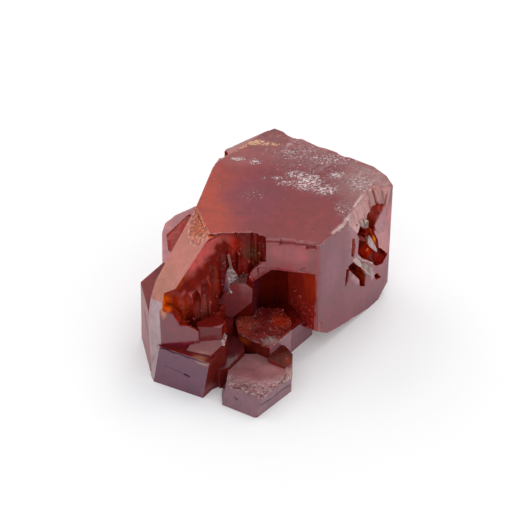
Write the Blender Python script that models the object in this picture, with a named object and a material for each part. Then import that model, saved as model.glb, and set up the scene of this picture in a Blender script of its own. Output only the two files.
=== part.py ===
"""Vanadinite specimen: stout hexagonal crystals grown together, about 25 mm long.

The lead crystal stands upright and ends in a flat face. A pyramid face slopes from it down to the
left, with a fluted scoop eaten into its front. Smaller crystals lean round its foot, a cave opens
between them, and a pocket with skeletal blades is sunk in the right-hand wall. The rear is the
broken face where the specimen came off its rock, with a few small crystals at its foot.

Lengths are in millimetres until a solid is put into the scene, in metres. +X runs to the right,
+Y away from the front, +Z up, and the specimen rests on z = 0.
"""

from dataclasses import dataclass, field
from math import cos, radians, sin

import bmesh
import bpy
from mathutils import Matrix, Vector

NAME = "crystal_cluster"
METRES = 0.001

# Height of the lead crystal's flat end, and how far under the rest plane a crystal starts
TOP = 13.7
SUNK = 1.5

# Height of a cutter that goes out through the top of everything
OPEN = 20.0

# Azimuths of the lead crystal's walls, in degrees anticlockwise from +X, of its broken rear, and of
# the left wing's inner side
RIGHT = -39.3
FRONT = RIGHT - 60.0
LEFT = FRONT - 60.0
REAR = 58.6
WING_SIDE = -41.6

# Slopes of the left pyramid face and of the shallow face behind the flat end
PYRAMID = 37.0
SHALLOW = 20.0

# Corners in plan that walls are measured from: the lead crystal's front right and rear right,
# and the left wing's front left
LEAD_CORNER = (4.98, -5.74)
REAR_CORNER = (10.3, 5.4)
WING_CORNER = (-9.5, -8.95)

# How far the set-back upper part of the right-hand wall shifts in plan for each millimetre of height
RECESS_LEAN = (-0.28, 0.23)

# Middle of the box round the finished specimen, which is put over the origin
MIDDLE = (0.07, -1.515)

# Base colour, roughness and metallic value of the crystals
DARK_RED = (0.19, 0.012, 0.012, 1.0)
GLOSS = 0.2


@dataclass
class Bevel:
    """A face that cuts a crystal: the way it looks, its slope from level, and a point on it."""

    azimuth: float
    slope: float
    through: tuple


@dataclass
class Crystal:
    """A prism over an outline, anticlockwise from above, that leans and has bevels cut on it."""

    outline: list
    top: float
    foot: float = -SUNK
    lean: tuple = (0.0, 0.0)
    bevels: list = field(default_factory=list)
    frame: Matrix = None


def facing(azimuth, slope=90.0):
    """Unit vector that looks along an azimuth, tipped from straight up (slope 0) to level (90)."""
    a, s = radians(azimuth), radians(slope)
    return Vector((cos(a) * sin(s), sin(a) * sin(s), cos(s)))


def wall_frame(azimuth, corner):
    """Frame of a wall: x along it from the corner, to the right as it is faced, y up, z out of it."""
    out = facing(azimuth)
    along = Vector((-out.y, out.x, 0.0))
    frame = Matrix((along, Vector((0.0, 0.0, 1.0)), out)).transposed().to_4x4()
    frame.translation = Vector((corner[0], corner[1], 0.0))
    return frame


def keep_below(bm, point, normal):
    """Cut a closed solid with a plane, drop what lies beyond it and close the cut with one face."""
    geometry = bm.verts[:] + bm.edges[:] + bm.faces[:]
    cut = bmesh.ops.bisect_plane(
        bm, geom=geometry, dist=1e-5, plane_co=point, plane_no=normal, clear_outer=True
    )
    rim = [e for e in cut["geom_cut"] if isinstance(e, bmesh.types.BMEdge)]
    if rim:
        bmesh.ops.contextual_create(bm, geom=rim)


def grow(crystal):
    """Block cut by a wall for each side of the outline, then leaned, ended, bevelled and placed."""
    bm = bmesh.new()
    bmesh.ops.create_cube(bm, size=80.0)
    corners = [Vector((x, y, 0.0)) for x, y in crystal.outline]
    for here, there in zip(corners, corners[1:] + corners[:1]):
        along = there - here
        keep_below(bm, here, Vector((along.y, -along.x, 0.0)).normalized())
    for v in bm.verts:
        rise = v.co.z - crystal.top
        v.co.x += crystal.lean[0] * rise
        v.co.y += crystal.lean[1] * rise
    keep_below(bm, Vector((0.0, 0.0, crystal.top)), Vector((0.0, 0.0, 1.0)))
    keep_below(bm, Vector((0.0, 0.0, crystal.foot)), Vector((0.0, 0.0, -1.0)))
    for bevel in crystal.bevels:
        keep_below(bm, Vector(bevel.through), facing(bevel.azimuth, bevel.slope))
    bmesh.ops.recalc_face_normals(bm, faces=bm.faces[:])
    if crystal.frame:
        bm.transform(crystal.frame)
    return bm


def hexagon(x, y, radius, turn):
    """Corners of a hexagon about x, y with a side that looks along turn."""
    corners = []
    for k in range(6):
        spoke = facing(turn + 30.0 + 60.0 * k)
        corners.append((x + radius * spoke.x, y + radius * spoke.y))
    return corners


def ball(centre, radius, detail=3):
    """Ball whose surface leaves a shell-like scar where it is taken out."""
    bm = bmesh.new()
    bmesh.ops.create_icosphere(bm, subdivisions=detail, radius=radius)
    bmesh.ops.translate(bm, verts=bm.verts[:], vec=centre)
    return bm


# The pyramid face that the lead crystal and its left wing share
LEFT_FACE = Bevel(LEFT, PYRAMID, (-6.4, -0.4, TOP))

# The lead crystal, which the others join. Its last three bevels lift its foot off the rest plane:
# along the right-hand wall, at the front corner and at the rear right corner
LEAD = Crystal(
    outline=[
        LEAD_CORNER, (7.55, -2.86), (12.0, 2.65), (11.45, 4.05), REAR_CORNER, (0.9, 11.15), (-3.75, 8.5),
        (-5.0, 5.1), (-6.4, -0.4), (-5.3, -4.05),
    ],
    top=TOP,
    bevels=[
        LEFT_FACE,
        Bevel(135.0, SHALLOW, (-3.5, 7.1, TOP)),
        Bevel(-129.3, 180.0 - 13.0, (7.7, -2.4, 0.8)),
        Bevel(-115.0, 180.0 - 42.0, (4.8, -5.9, 2.95)),
        Bevel(10.0, 180.0 - 50.0, (12.0, 2.7, 1.3)),
    ],
)


def side_crystals():
    """The left wing under the pyramid face, and the two crystals that stand out beyond it."""
    return {
        "left_wing": Crystal(
            outline=[(-2.0, -4.9), (-1.5, 1.5), (-5.13, 1.6), (-10.05, -6.0), (-10.72, -8.42), (-9.62, -8.93),
                     (-6.1, -9.51)],
            top=TOP - 0.2,
            bevels=[LEFT_FACE, Bevel(-142.0, 67.0, (-10.03, -8.02, 9.11))],
        ),
        "far_left": Crystal(
            outline=[(-11.64, -3.62), (-10.55, -8.4), (-10.2, -8.35), (-6.5, -7.0), (-6.0, -1.5),
                     (-9.4, -0.6)],
            top=7.2,
            lean=(0.03, 0.0),
        ),
        "rear_left": Crystal(
            outline=[(-9.68, 0.26), (-9.5, -4.0), (-6.0, -4.5), (-4.0, 2.0), (-5.0, 4.6), (-6.76, 3.9),
                     (-8.6, 2.6), (-9.44, 1.5)],
            top=10.0,
        ),
    }


def front_crystals():
    """The low crystals round the front foot, and the pillar between the scoop and the cave."""
    return {
        "front_left": Crystal(
            outline=[(-9.78, -9.1), (-5.1, -11.25), (-3.9, -9.7), (-4.5, -6.5), (-8.8, -5.5),
                     (-10.1, -8.2)],
            top=4.2,
            lean=(0.16, 0.11),
        ),
        "front_middle": Crystal(
            outline=[(-2.85, -5.0), (-2.5, -6.8), (0.45, -8.8), (2.5, -6.35), (2.45, -5.1), (1.6, -3.5),
                     (-1.1, -3.2), (-2.15, -4.05)],
            top=3.6,
        ),
        "front_plate": Crystal(
            outline=[(-4.1, -10.6), (-3.95, -12.85), (-1.6, -14.25), (-0.7, -14.15), (2.45, -10.85),
                     (2.5, -9.8), (1.0, -8.0), (-2.4, -8.0)],
            top=2.1,
            bevels=[
                Bevel(-118.0, 74.0, (-2.0, -12.95, 2.1)),
                Bevel(175.0, 76.0, (-3.5, -11.0, 2.1)),
                Bevel(150.0, 80.0, (-3.1, -9.2, 2.1)),
            ],
        ),
        "right_foot": Crystal(
            outline=[(0.6, -6.9), (1.2, -7.3), (4.55, -3.35), (4.3, -1.2), (1.6, -1.6), (0.4, -4.6)],
            top=2.95,
            bevels=[Bevel(-20.0, 12.0, (2.6, -5.6, 2.9))],
        ),
        "wedge": Crystal(
            outline=[(0.3, -9.2), (1.9, -10.0), (2.5, -9.6), (2.6, -8.5), (1.8, -7.5), (0.2, -7.2)],
            top=2.75,
            bevels=[Bevel(-60.0, 14.0, (1.4, -8.8, 2.7))],
        ),
        "small": Crystal(
            outline=[(-6.15, -9.3), (-3.95, -9.6), (-3.6, -8.5), (-4.9, -7.6), (-6.3, -8.6)],
            top=7.1,
            bevels=[Bevel(120.0, 12.0, (-4.6, -9.4, 7.1))],
        ),
        "small_slope": Crystal(
            outline=[(-7.3, -9.75), (-6.9, -9.9), (-5.25, -10.8), (-3.7, -9.9), (-3.45, -8.9), (-6.2, -8.7)],
            top=6.2,
            bevels=[Bevel(-118.0, 36.0, (-5.25, -10.8, 4.35)), Bevel(-30.0, 50.0, (-3.6, -9.5, 5.2))],
        ),
        "between": Crystal(
            outline=[(-4.9, -9.6), (-4.2, -10.5), (-3.3, -10.1), (-1.9, -8.2), (-2.1, -6.3), (-4.6, -6.3)],
            top=2.75,
            bevels=[Bevel(-75.0, 12.0, (-3.6, -10.2, 2.5))],
        ),
        "pillar": Crystal(
            outline=[(-4.7, -4.15), (-2.9, -4.5), (-1.25, -4.55), (-0.75, -3.4), (-4.5, -3.2)],
            top=8.45,
            bevels=[Bevel(172.0, 57.0, (-3.2, -4.5, 7.4))],
        ),
    }


def pillar_end():
    """The pillar's faces toward the front, each an outline along and up the wall, and its depths."""
    frame = wall_frame(FRONT, (-2.9, -5.15))
    band = wall_frame(FRONT, (LEAD_CORNER[0], LEAD_CORNER[1] + 0.04))
    return {
        "pillar_face": Crystal(
            [(-2.01, 4.72), (-0.21, 3.89), (1.71, 6.35), (1.77, 8.03), (1.16, 8.58), (-0.25, 8.36),
             (-1.2, 6.55)], 0.0, -1.7, (0.02, 0.0), frame=frame,
        ),
        "pillar_tip": Crystal(
            [(-1.55, 6.9), (-0.95, 6.8), (0.2, 7.4), (0.36, 8.7), (-0.41, 10.3), (-0.95, 8.9)], 0.1, -1.9,
            bevels=[Bevel(25.0, 34.0, (-0.6, 9.0, -0.2)), Bevel(172.0, 38.0, (-0.6, 9.0, -0.2))], frame=frame,
        ),
        "pillar_sliver": Crystal(
            [(-0.42, 9.9), (-0.15, 10.1), (-0.4, 11.8), (-0.66, 11.7)], -0.35, -1.8, frame=frame,
        ),
        "front_band": Crystal(
            [(-6.4, 8.1), (-5.33, 9.35), (-4.5, 10.35), (-4.9, 11.0), (-5.33, 10.95), (-6.3, 9.65),
             (-6.6, 8.85)], 0.0, -1.6, frame=band,
        ),
    }


def scoop():
    """Cutters of the hollow under the pyramid face: its body, its low front rim, and its flutes.

    The body's bevel leaves a sloping inner face under the upper edge. The rims are outlines along
    and up the wing's walls. Each flute is a small hexagonal shaft: its place in plan, its radius,
    and its lower end.
    """
    cutters = {
        "scoop": Crystal(
            outline=[(-0.1, -4.85), (-0.8, -3.95), (-4.2, -4.0), (-5.5, -4.85), (-8.95, -8.35),
                     (-8.3, -8.55), (-5.9, -8.95), (-3.0, -6.5)],
            top=OPEN,
            foot=4.4,
            bevels=[Bevel(121.6, 115.0, (-6.8, -6.4, 11.8))],
        ),
    }
    front, side = wall_frame(FRONT, WING_CORNER), wall_frame(WING_SIDE, (-6.1, -9.51))
    rims = {
        "rim_left": (front, [(0.12, 9.8), (0.2, 8.52), (1.25, 8.4), (1.25, OPEN), (0.12, OPEN)]),
        "rim_right": (front, [(0.95, 8.65), (1.75, 6.95), (3.6, 7.25), (3.6, OPEN), (0.95, OPEN)]),
        "rim_side": (side, [(-0.6, 7.2), (0.6, 5.9), (2.2, 4.2), (6.5, 4.0), (6.5, OPEN), (-0.6, OPEN)]),
        "undercut": (front, [(1.9, 3.8), (3.6, 3.8), (3.45, 5.25)]),
    }
    for name, (frame, outline) in rims.items():
        cutters[name] = Crystal(outline, 1.0, -1.2, frame=frame)
    flutes = [
        (-0.35, -4.75, 0.5, 10.2), (-1.1, -4.5, 0.65, 9.0), (-2.0, -4.45, 0.6, 8.0),
        (-2.9, -4.7, 0.7, 6.6), (-3.8, -5.2, 0.65, 5.6), (-4.5, -6.1, 0.7, 5.2),
        (-5.3, -7.0, 0.65, 4.9), (-6.1, -7.8, 0.6, 5.0), (-7.0, -8.15, 0.5, 5.6),
        (-7.8, -8.4, 0.3, 7.6),
    ]
    for k, (x, y, radius, low) in enumerate(flutes):
        cutters[f"flute_{k}"] = Crystal(hexagon(x, y, radius, 10.0 * k), OPEN, low)
    return cutters


def cave():
    """Cutters of the cave between the lead crystal's front corner and the pillar."""
    return {
        "cave": Crystal(
            outline=[(4.62, -5.69), (2.2, -2.0), (0.9, -1.3), (-0.4, -1.8), (-1.2, -4.5), (-1.2, -8.0),
                     (4.3, -8.0)],
            top=10.1,
            foot=2.4,
            bevels=[Bevel(FRONT - 90.0, 46.0, (-0.55, -4.8, 8.9))],
        ),
        "cave_left": Crystal(
            outline=[(-3.0, -6.5), (-0.9, -6.5), (-0.9, -2.4), (-3.0, -4.0)],
            top=7.0,
            foot=2.3,
            bevels=[Bevel(160.0, 55.0, (-1.1, -4.7, 6.6))],
        ),
    }


def dents():
    """Cutters of the rear left crystal's sunken end, the notch beside it and the front edge's chips.

    Each chip has its start and end along the front wall, its depth, and its lower edge.
    """
    cutters = {
        "sunken_end": Crystal(
            outline=[(-9.25, -0.1), (-9.0, -2.2), (-8.3, -3.2), (-6.45, 0.2), (-6.1, 2.2), (-7.2, 2.85)],
            top=OPEN,
            foot=4.0,
            bevels=[Bevel(110.0, 180.0 - 50.0, (-7.5, 3.0, 9.8))],
        ),
        "notch": Crystal(hexagon(-4.2, 7.5, 0.75, 10.0), OPEN, 12.3),
    }
    chips = [(-5.0, -3.6, 0.22, 13.35), (-3.75, -2.3, 0.42, 13.2), (-2.4, -1.1, 0.28, 13.3),
             (-1.3, -0.35, 0.4, 13.05)]
    frame = wall_frame(FRONT, LEAD_CORNER)
    for k, (start, end, depth, low) in enumerate(chips):
        outline = [(start, low), (end, low + 0.1), (end - 0.1, OPEN), (start + 0.15, OPEN)]
        cutters[f"chip_{k}"] = Crystal(outline, 1.0, -depth, frame=frame)
    return cutters


def recess():
    """Cutter of the set-back upper part of the right-hand wall, with a ledge at its lower end."""
    return {
        "recess": Crystal(
            outline=[(7.5, -3.2), (13.5, 0.5), (12.6, 2.3), (9.85, 2.78), (7.9, -1.1)],
            top=TOP + 0.2,
            foot=6.5,
            lean=RECESS_LEAN,
        )
    }


def ribs():
    """Ribs that stand on the recess's leaning wall: place in plan, radius, and upper end."""
    places = [(7.62, -1.75, 0.34, 13.45), (7.95, -0.85, 0.3, 13.6), (8.3, -0.15, 0.4, 13.3),
              (8.75, 0.75, 0.32, 13.55), (9.15, 1.5, 0.42, 13.25), (9.65, 2.4, 0.36, 13.5),
              (10.3, 2.75, 0.36, 13.35), (11.1, 2.6, 0.34, 13.5)]
    within = Bevel(RIGHT, 90.0, (LEAD_CORNER[0], LEAD_CORNER[1] + 0.15, 0.0))
    return {
        f"rib_{k}": Crystal(hexagon(x, y, radius, RIGHT + 7.0 * k), top, 6.0, RECESS_LEAN, [within])
        for k, (x, y, radius, top) in enumerate(places)
    }


def pocket():
    """Cutters of the pocket, each an outline along and up the right-hand wall, and its depth."""
    frame = wall_frame(RIGHT, LEAD_CORNER)
    windows = {
        "pocket_top": ([(7.35, 11.75), (8.1, 10.9), (9.05, 10.5), (9.65, 10.95), (10.05, 11.75), (9.3, 11.95),
                        (8.5, 11.95)], 3.4),
        "pocket_neck": ([(7.3, 10.6), (8.25, 9.75), (8.95, 10.6), (7.75, 11.6)], 3.0),
        "pocket_dark": ([(5.45, 11.35), (6.1, 10.15), (7.05, 9.65), (7.5, 10.1), (7.45, 11.0), (6.2, 11.8)],
                        2.8),
        "pocket_middle": ([(5.7, 8.85), (6.4, 7.7), (7.95, 5.95), (8.85, 6.2), (9.25, 6.9), (7.4, 9.7),
                           (5.8, 10.5)], 2.6),
        "pocket_right": ([(7.85, 6.15), (8.8, 4.95), (9.85, 4.5), (10.65, 5.2), (9.5, 6.75), (8.3, 7.5)],
                         2.2),
        "pocket_upper": ([(7.25, 9.6), (8.3, 7.8), (9.1, 7.05), (8.9, 8.25), (8.1, 10.0), (7.5, 10.7)], 2.9),
        "pocket_low": ([(4.2, 8.15), (4.55, 7.45), (6.15, 5.1), (7.3, 4.9), (6.65, 6.25), (5.15, 8.2)], 1.5),
        "pocket_leg": ([(6.3, 4.1), (7.1, 3.55), (7.2, 5.1), (6.05, 5.65)], 1.2),
        "pocket_slit": ([(3.85, 5.85), (4.3, 6.3), (4.45, 7.8), (4.0, 7.95)], 0.7),
        "pocket_groove": ([(4.7, 9.2), (5.1, 8.75), (5.3, 10.0), (5.15, 11.1), (4.75, 11.3)], 0.5),
        "pocket_speck": ([(8.9, 3.0), (9.75, 2.75), (9.1, 3.8), (8.55, 3.95)], 0.6),
    }
    return {
        name: Crystal(outline, 2.0, -depth, frame=frame) for name, (outline, depth) in windows.items()
    }


def blades():
    """Skeletal growth in the pocket: outline on the wall, depth of its outer end, and that end's tilt."""
    frame = wall_frame(RIGHT, LEAD_CORNER)
    pieces = {
        "blade_block": ([(5.9, 8.75), (6.5, 7.85), (7.9, 6.25), (8.65, 6.6), (8.4, 7.25), (7.1, 9.1),
                         (5.95, 9.95)], 0.8, 200, 14),
        "blade_knob": ([(8.1, 6.2), (8.85, 5.15), (9.8, 4.7), (10.45, 5.3), (9.45, 6.55), (8.55, 6.95)],
                       0.3, 60, 12),
        "blade_sliver": ([(7.75, 9.75), (8.65, 7.45), (9.0, 7.2), (8.8, 8.2), (8.1, 9.75), (7.8, 10.2)],
                         0.4, 20, 16),
        "blade_shard": ([(7.5, 8.65), (8.35, 7.4), (8.8, 7.25), (8.4, 8.1), (7.6, 9.4), (7.4, 9.3)],
                        0.9, 150, 20),
        "blade_tooth": ([(6.3, 11.65), (6.75, 11.1), (7.25, 10.95), (7.4, 11.55), (7.1, 11.85), (6.5, 12.0)],
                        0.15, 120, 14),
        "blade_splinter": ([(6.6, 6.05), (7.65, 4.55), (7.2, 5.85), (5.65, 8.35), (5.1, 8.4)], -0.2, 50, 14),
    }
    grown = {}
    for name, (outline, depth, azimuth, slope) in pieces.items():
        x, y = outline[0]
        tilt = Bevel(azimuth, slope, (x, y, -depth))
        grown[name] = Crystal(outline, -depth + 0.3, -4.2, bevels=[tilt], frame=frame)
    return grown


def scars():
    """Balls that leave the broken rear and the uneven underside.

    Rear ones are measured along the rear wall and up it, with their radius and how deep they bite.
    """
    frame = wall_frame(REAR, REAR_CORNER)
    rear = [(6.3, 11.8, 6.3, 0.5), (2.0, 7.6, 9.0, 0.8), (7.4, 5.4, 10.0, 1.3), (4.3, 1.8, 8.0, 1.0),
            (10.6, 8.4, 7.0, 0.8), (3.3, 13.0, 1.6, 0.35), (8.9, 13.3, 2.0, 0.35)]
    edge = [(17.55, 2.15, 8.3, 5.6)]
    under = [(1.8, 3.4, -7.2, 8.3), (-6.0, -4.6, -5.6, 6.5), (6.4, 6.6, -3.6, 4.2)]
    balls = {}
    for k, (along, up, radius, bite) in enumerate(rear):
        balls[f"rear_scar_{k}"] = ball(frame @ Vector((along, up, radius - bite)), radius)
    for k, (x, y, z, radius) in enumerate(edge + under):
        balls[f"scar_{k}"] = ball(Vector((x, y, z)), radius)
    return balls


def rear_crystals():
    """Small crystals at the foot of the broken rear: place, radius, turn, height and lean."""
    places = [
        (9.4, 5.9, 1.25, -25.0, 4.8, 0.16), (6.6, 7.7, 1.6, 8.0, 3.3, 0.1),
        (4.2, 9.2, 0.9, 30.0, 5.4, 0.14), (2.2, 9.9, 1.3, -40.0, 4.1, 0.12),
        (-0.9, 9.6, 1.5, 15.0, 6.4, 0.06), (-3.4, 8.2, 1.2, -10.0, 4.6, 0.1),
        (-4.9, 5.9, 1.3, 20.0, 7.4, 0.05), (-6.9, 4.5, 1.1, 0.0, 4.4, 0.1),
    ]
    grown = {}
    for k, (x, y, radius, turn, height, lean) in enumerate(places):
        grown[f"rear_crystal_{k}"] = Crystal(
            hexagon(x, y, radius, turn), height, lean=(lean * x / 9.0, lean * y / 9.0)
        )
    return grown


def put(name, bm, collection):
    """Bring a solid to metres and over the origin, as a named object of a collection."""
    bm.transform(Matrix.Scale(METRES, 4) @ Matrix.Translation((-MIDDLE[0], -MIDDLE[1], 0.0)))
    mesh = bpy.data.meshes.new(name)
    bm.to_mesh(mesh)
    bm.free()
    thing = bpy.data.objects.new(name, mesh)
    collection.objects.link(thing)
    return thing


def combine(body, label, operation, solids, tools):
    """Join solids to the body, or take them out of it, in one Boolean step named by its label."""
    group = bpy.data.collections.new(label)
    tools.children.link(group)
    for name, bm in solids.items():
        thing = put(name, bm, group)
        thing.hide_render = True
        thing.display_type = "WIRE"
    step = body.modifiers.new(label, "BOOLEAN")
    step.operation = operation
    step.operand_type = "COLLECTION"
    step.collection = group
    step.solver = "EXACT"


def crystal_material():
    """Glossy dark red of the whole specimen."""
    material = bpy.data.materials.new("vanadinite")
    material.use_nodes = True
    shader = material.node_tree.nodes["Principled BSDF"]
    shader.inputs["Base Color"].default_value = DARK_RED
    shader.inputs["Roughness"].default_value = GLOSS
    shader.inputs["Metallic"].default_value = 0.0
    return material


def main():
    """Grow the crystals, hollow them, add what stands in and before the hollows, and cut the foot."""
    for old in list(bpy.data.objects):
        bpy.data.objects.remove(old)
    parts = bpy.data.collections.new("vanadinite_specimen")
    tools = bpy.data.collections.new("cutters")
    for collection in (parts, tools):
        bpy.context.scene.collection.children.link(collection)

    body = put(NAME, grow(LEAD), parts)
    body.data.materials.append(crystal_material())

    sides = {name: grow(c) for name, c in side_crystals().items()}
    combine(body, "sides", "UNION", sides, tools)

    hollows = {name: grow(c) for name, c in (scoop() | cave() | dents() | recess()).items()}
    combine(body, "hollows", "DIFFERENCE", hollows | scars(), tools)

    grown = ribs() | front_crystals() | pillar_end() | rear_crystals()
    walls = {name: grow(c) for name, c in grown.items()}
    combine(body, "fronts", "UNION", walls, tools)

    combine(body, "pocket", "DIFFERENCE", {name: grow(c) for name, c in pocket().items()}, tools)
    combine(body, "blades", "UNION", {name: grow(c) for name, c in blades().items()}, tools)

    ground = bmesh.new()
    bmesh.ops.create_cube(ground, size=60.0)
    bmesh.ops.translate(ground, verts=ground.verts[:], vec=(0.0, 0.0, -30.0))
    combine(body, "rest_plane", "DIFFERENCE", {"ground": ground}, tools)


main()
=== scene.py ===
"""Vanadinite specimen, dressed: chipped, striated and drusy crystal faces in glossy deep red.

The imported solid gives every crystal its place. Its flat faces are sorted into regions and meshed
again finely, so that growth lines, hillocks, cracks, chips and crusts are real shape. One
procedural finish carries each region's tone, flecks and stains, and a druse of tiny crystals grows
where the photograph shows one.

Shapes are worked out in millimetres in the specimen's own drawing frame, whose origin lies a
little off the middle of the solid's foot, and written to the meshes in metres.
"""

import logging
from dataclasses import dataclass
from enum import IntEnum
from math import cos, pi, radians, sin
from typing import Optional, Union

import bmesh
import bpy
import numpy as np
from mathutils.geometry import delaunay_2d_cdt
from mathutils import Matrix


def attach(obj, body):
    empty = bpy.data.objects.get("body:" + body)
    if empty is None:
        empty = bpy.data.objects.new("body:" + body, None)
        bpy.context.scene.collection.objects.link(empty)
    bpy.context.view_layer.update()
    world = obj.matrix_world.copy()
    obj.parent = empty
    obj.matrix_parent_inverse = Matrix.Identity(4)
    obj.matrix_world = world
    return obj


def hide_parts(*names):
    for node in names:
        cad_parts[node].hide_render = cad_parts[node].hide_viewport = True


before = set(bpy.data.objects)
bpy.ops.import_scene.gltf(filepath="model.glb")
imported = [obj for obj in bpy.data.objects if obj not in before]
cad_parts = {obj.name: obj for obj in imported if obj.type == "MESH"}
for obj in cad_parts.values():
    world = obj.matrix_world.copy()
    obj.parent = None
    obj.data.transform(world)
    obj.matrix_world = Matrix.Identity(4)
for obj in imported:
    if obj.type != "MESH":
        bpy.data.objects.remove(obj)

Array = np.ndarray
Number = Union[float, int]
Triple = tuple[float, float, float]
Colour = tuple[float, float, float, float]
Line = tuple[Triple, ...]

NODE = "crystal_cluster"
METRES = 0.001
FAR = 99.0
TINY = 1e-9

# Offset in millimetres from the row frame to the drawing frame
MIDDLE = np.array((0.07, -1.515, 0.0))

# The lead crystal: its walls' azimuths anticlockwise from +X, its height, its front corner in plan
RIGHT, LEFT = -39.3, -159.3
TOP = 13.7
LEAD_CORNER = np.array((4.98, -5.74, 0.0))

logging.basicConfig(level=logging.INFO, format="%(levelname)s %(message)s")
LOG = logging.getLogger("vanadinite")


class Ground(IntEnum):
    """What a face of the specimen is, which decides its relief."""

    FOOT, FLAT_END, PYRAMID, WALL, RECESS, HOLLOW = range(6)
    CAVE, DRUSE, LOW_END, SHARD, BROKEN, PLAIN = range(6, 12)


FOOT, FLAT_END, PYRAMID, WALL, RECESS, HOLLOW, CAVE, DRUSE, LOW_END, SHARD, BROKEN, PLAIN = Ground
DEEP = (HOLLOW, RECESS)
Grounds = Union[Ground, tuple[Ground, ...]]


def facing(azimuth: float, slope: float = 90.0) -> Array:
    """Unit vector that looks along an azimuth, tipped from straight up (0) to level (90).

    Args:
        azimuth: Degrees anticlockwise from +X.
        slope: Degrees from straight up.

    Returns:
        The vector's three components.
    """
    a, s = radians(azimuth), radians(slope)
    return np.array((cos(a) * sin(s), sin(a) * sin(s), cos(s)))


def unit(vectors: Array) -> Array:
    """Vectors scaled to length 1."""
    return vectors / np.maximum(np.linalg.norm(vectors, axis=-1, keepdims=True), TINY)


def across(flat: Array) -> Array:
    """Vectors of a plane, scaled to length 1 and turned a quarter anticlockwise."""
    return unit(np.stack((-flat[:, 1], flat[:, 0]), axis=1))


def ease(low: Number, high: Number, value: Array) -> Array:
    """Smooth step from 0 at low to 1 at high: 3 t squared less 2 t cubed."""
    t = np.clip((value - low) / (high - low), 0.0, 1.0)
    return t * t * (3.0 - 2.0 * t)


def linear(tone: Triple) -> Array:
    """Linear red, green and blue of a tone, which the tables give in thousandths."""
    return np.array(tone) / 1000.0


def hashed(cell: Array, seed: int) -> Array:
    """Number from 0 to 1 for each whole-number lattice cell, from mixed products of its parts.

    Args:
        cell: The cells, three whole numbers each.
        seed: Which pattern.

    Returns:
        One number for each cell.
    """
    c = cell.astype(np.uint64)
    mask = np.uint64(0xFFFFFFFF)
    h = c[..., 0] * np.uint64(73856093)
    h ^= c[..., 1] * np.uint64(19349663)
    h ^= c[..., 2] * np.uint64(83492791)
    h ^= np.uint64(seed * 2654435761 % 4294967296)
    h = (h ^ (h >> np.uint64(13))) * np.uint64(1274126177) & mask
    h = (h ^ (h >> np.uint64(16))) * np.uint64(2246822519) & mask
    return (h ^ (h >> np.uint64(15))).astype(float) / 4294967295.0


def lattice(points: Array, size: float) -> tuple[Array, Array]:
    """Places in cell sizes, moved off the origin, and the whole-number cell that each lies in."""
    q = points / size + 1000.37
    return q, np.floor(q).astype(np.int64)


def cloud(points: Array, size: float, seed: int, octaves: int = 3) -> Array:
    """Layered value noise: lattice values blended by a fifth-power ease, each layer half the last.

    Args:
        points: Places in millimetres, one row each.
        size: Length of the first layer's cells.
        seed: Which pattern.
        octaves: How many layers.

    Returns:
        Values from 0 to 1 with a mean near a half.
    """
    total, weight, share = np.zeros(len(points)), 0.0, 1.0
    for layer in range(octaves):
        q, cell = lattice(points * 2.0**layer, size)
        f = q - cell
        f = f * f * f * (f * (f * 6.0 - 15.0) + 10.0)
        value = np.zeros(len(points))
        for corner in np.ndindex(2, 2, 2):
            step = np.array(corner)
            w = np.prod(np.where(step == 1, f, 1.0 - f), axis=1)
            value += w * hashed(cell + step, seed + layer)
        total += share * value
        weight += share
        share *= 0.5
    return total / weight


def pebbles(points: Array, size: float, seed: int) -> Array:
    """Distance to the nearest of a set of scattered seeds, in cell sizes, from 0 at a seed.

    Args:
        points: Places in millimetres, one row each.
        size: Length of the cells, which hold one seed each.
        seed: Which pattern.

    Returns:
        One distance for each place.
    """
    q, cell = lattice(points, size)
    nearest = np.full(len(points), FAR)
    for corner in np.ndindex(3, 3, 3):
        there = cell + np.array(corner) - 1
        place = there + np.stack([hashed(there, seed + k) for k in range(3)], axis=1)
        nearest = np.minimum(nearest, np.linalg.norm(q - place, axis=1))
    return nearest


def off_line(points: Array, line: Union[Array, Line]) -> Array:
    """Distance of each point from the nearest stretch of a line through several places.

    Args:
        points: The points, in a plane or in space.
        line: The line's places, in the same.

    Returns:
        One distance for each point.
    """
    places = np.array(line)
    best = np.full(len(points), FAR)
    for a, b in zip(places[:-1], places[1:]):
        side = b - a
        t = np.clip((points - a) @ side / max(side @ side, TINY**2), 0.0, 1.0)
        best = np.minimum(best, np.linalg.norm(points - a - t[:, None] * side, axis=1))
    return best


def band(count: int) -> Array:
    """Triangles between two rings of corners, the second numbered on from the first.

    Args:
        count: How many corners a ring has.

    Returns:
        The triangles, two for each side of the ring.
    """
    k = np.arange(count)
    after = (k + 1) % count
    nets = ((k, after, after + count), (k, after + count, k + count))
    return np.vstack([np.stack(net, axis=1) for net in nets])


def fan(count: int) -> Array:
    """Triangles that fill a ring of corners, all from its first corner."""
    k = np.arange(1, count - 1)
    return np.stack((k * 0, k, k + 1), 1)


# The right-hand wall's own directions: along it, up it and out of it
WALL_AXES = np.array((facing(RIGHT + 90.0), (0.0, 0.0, 1.0), facing(RIGHT)))


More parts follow.
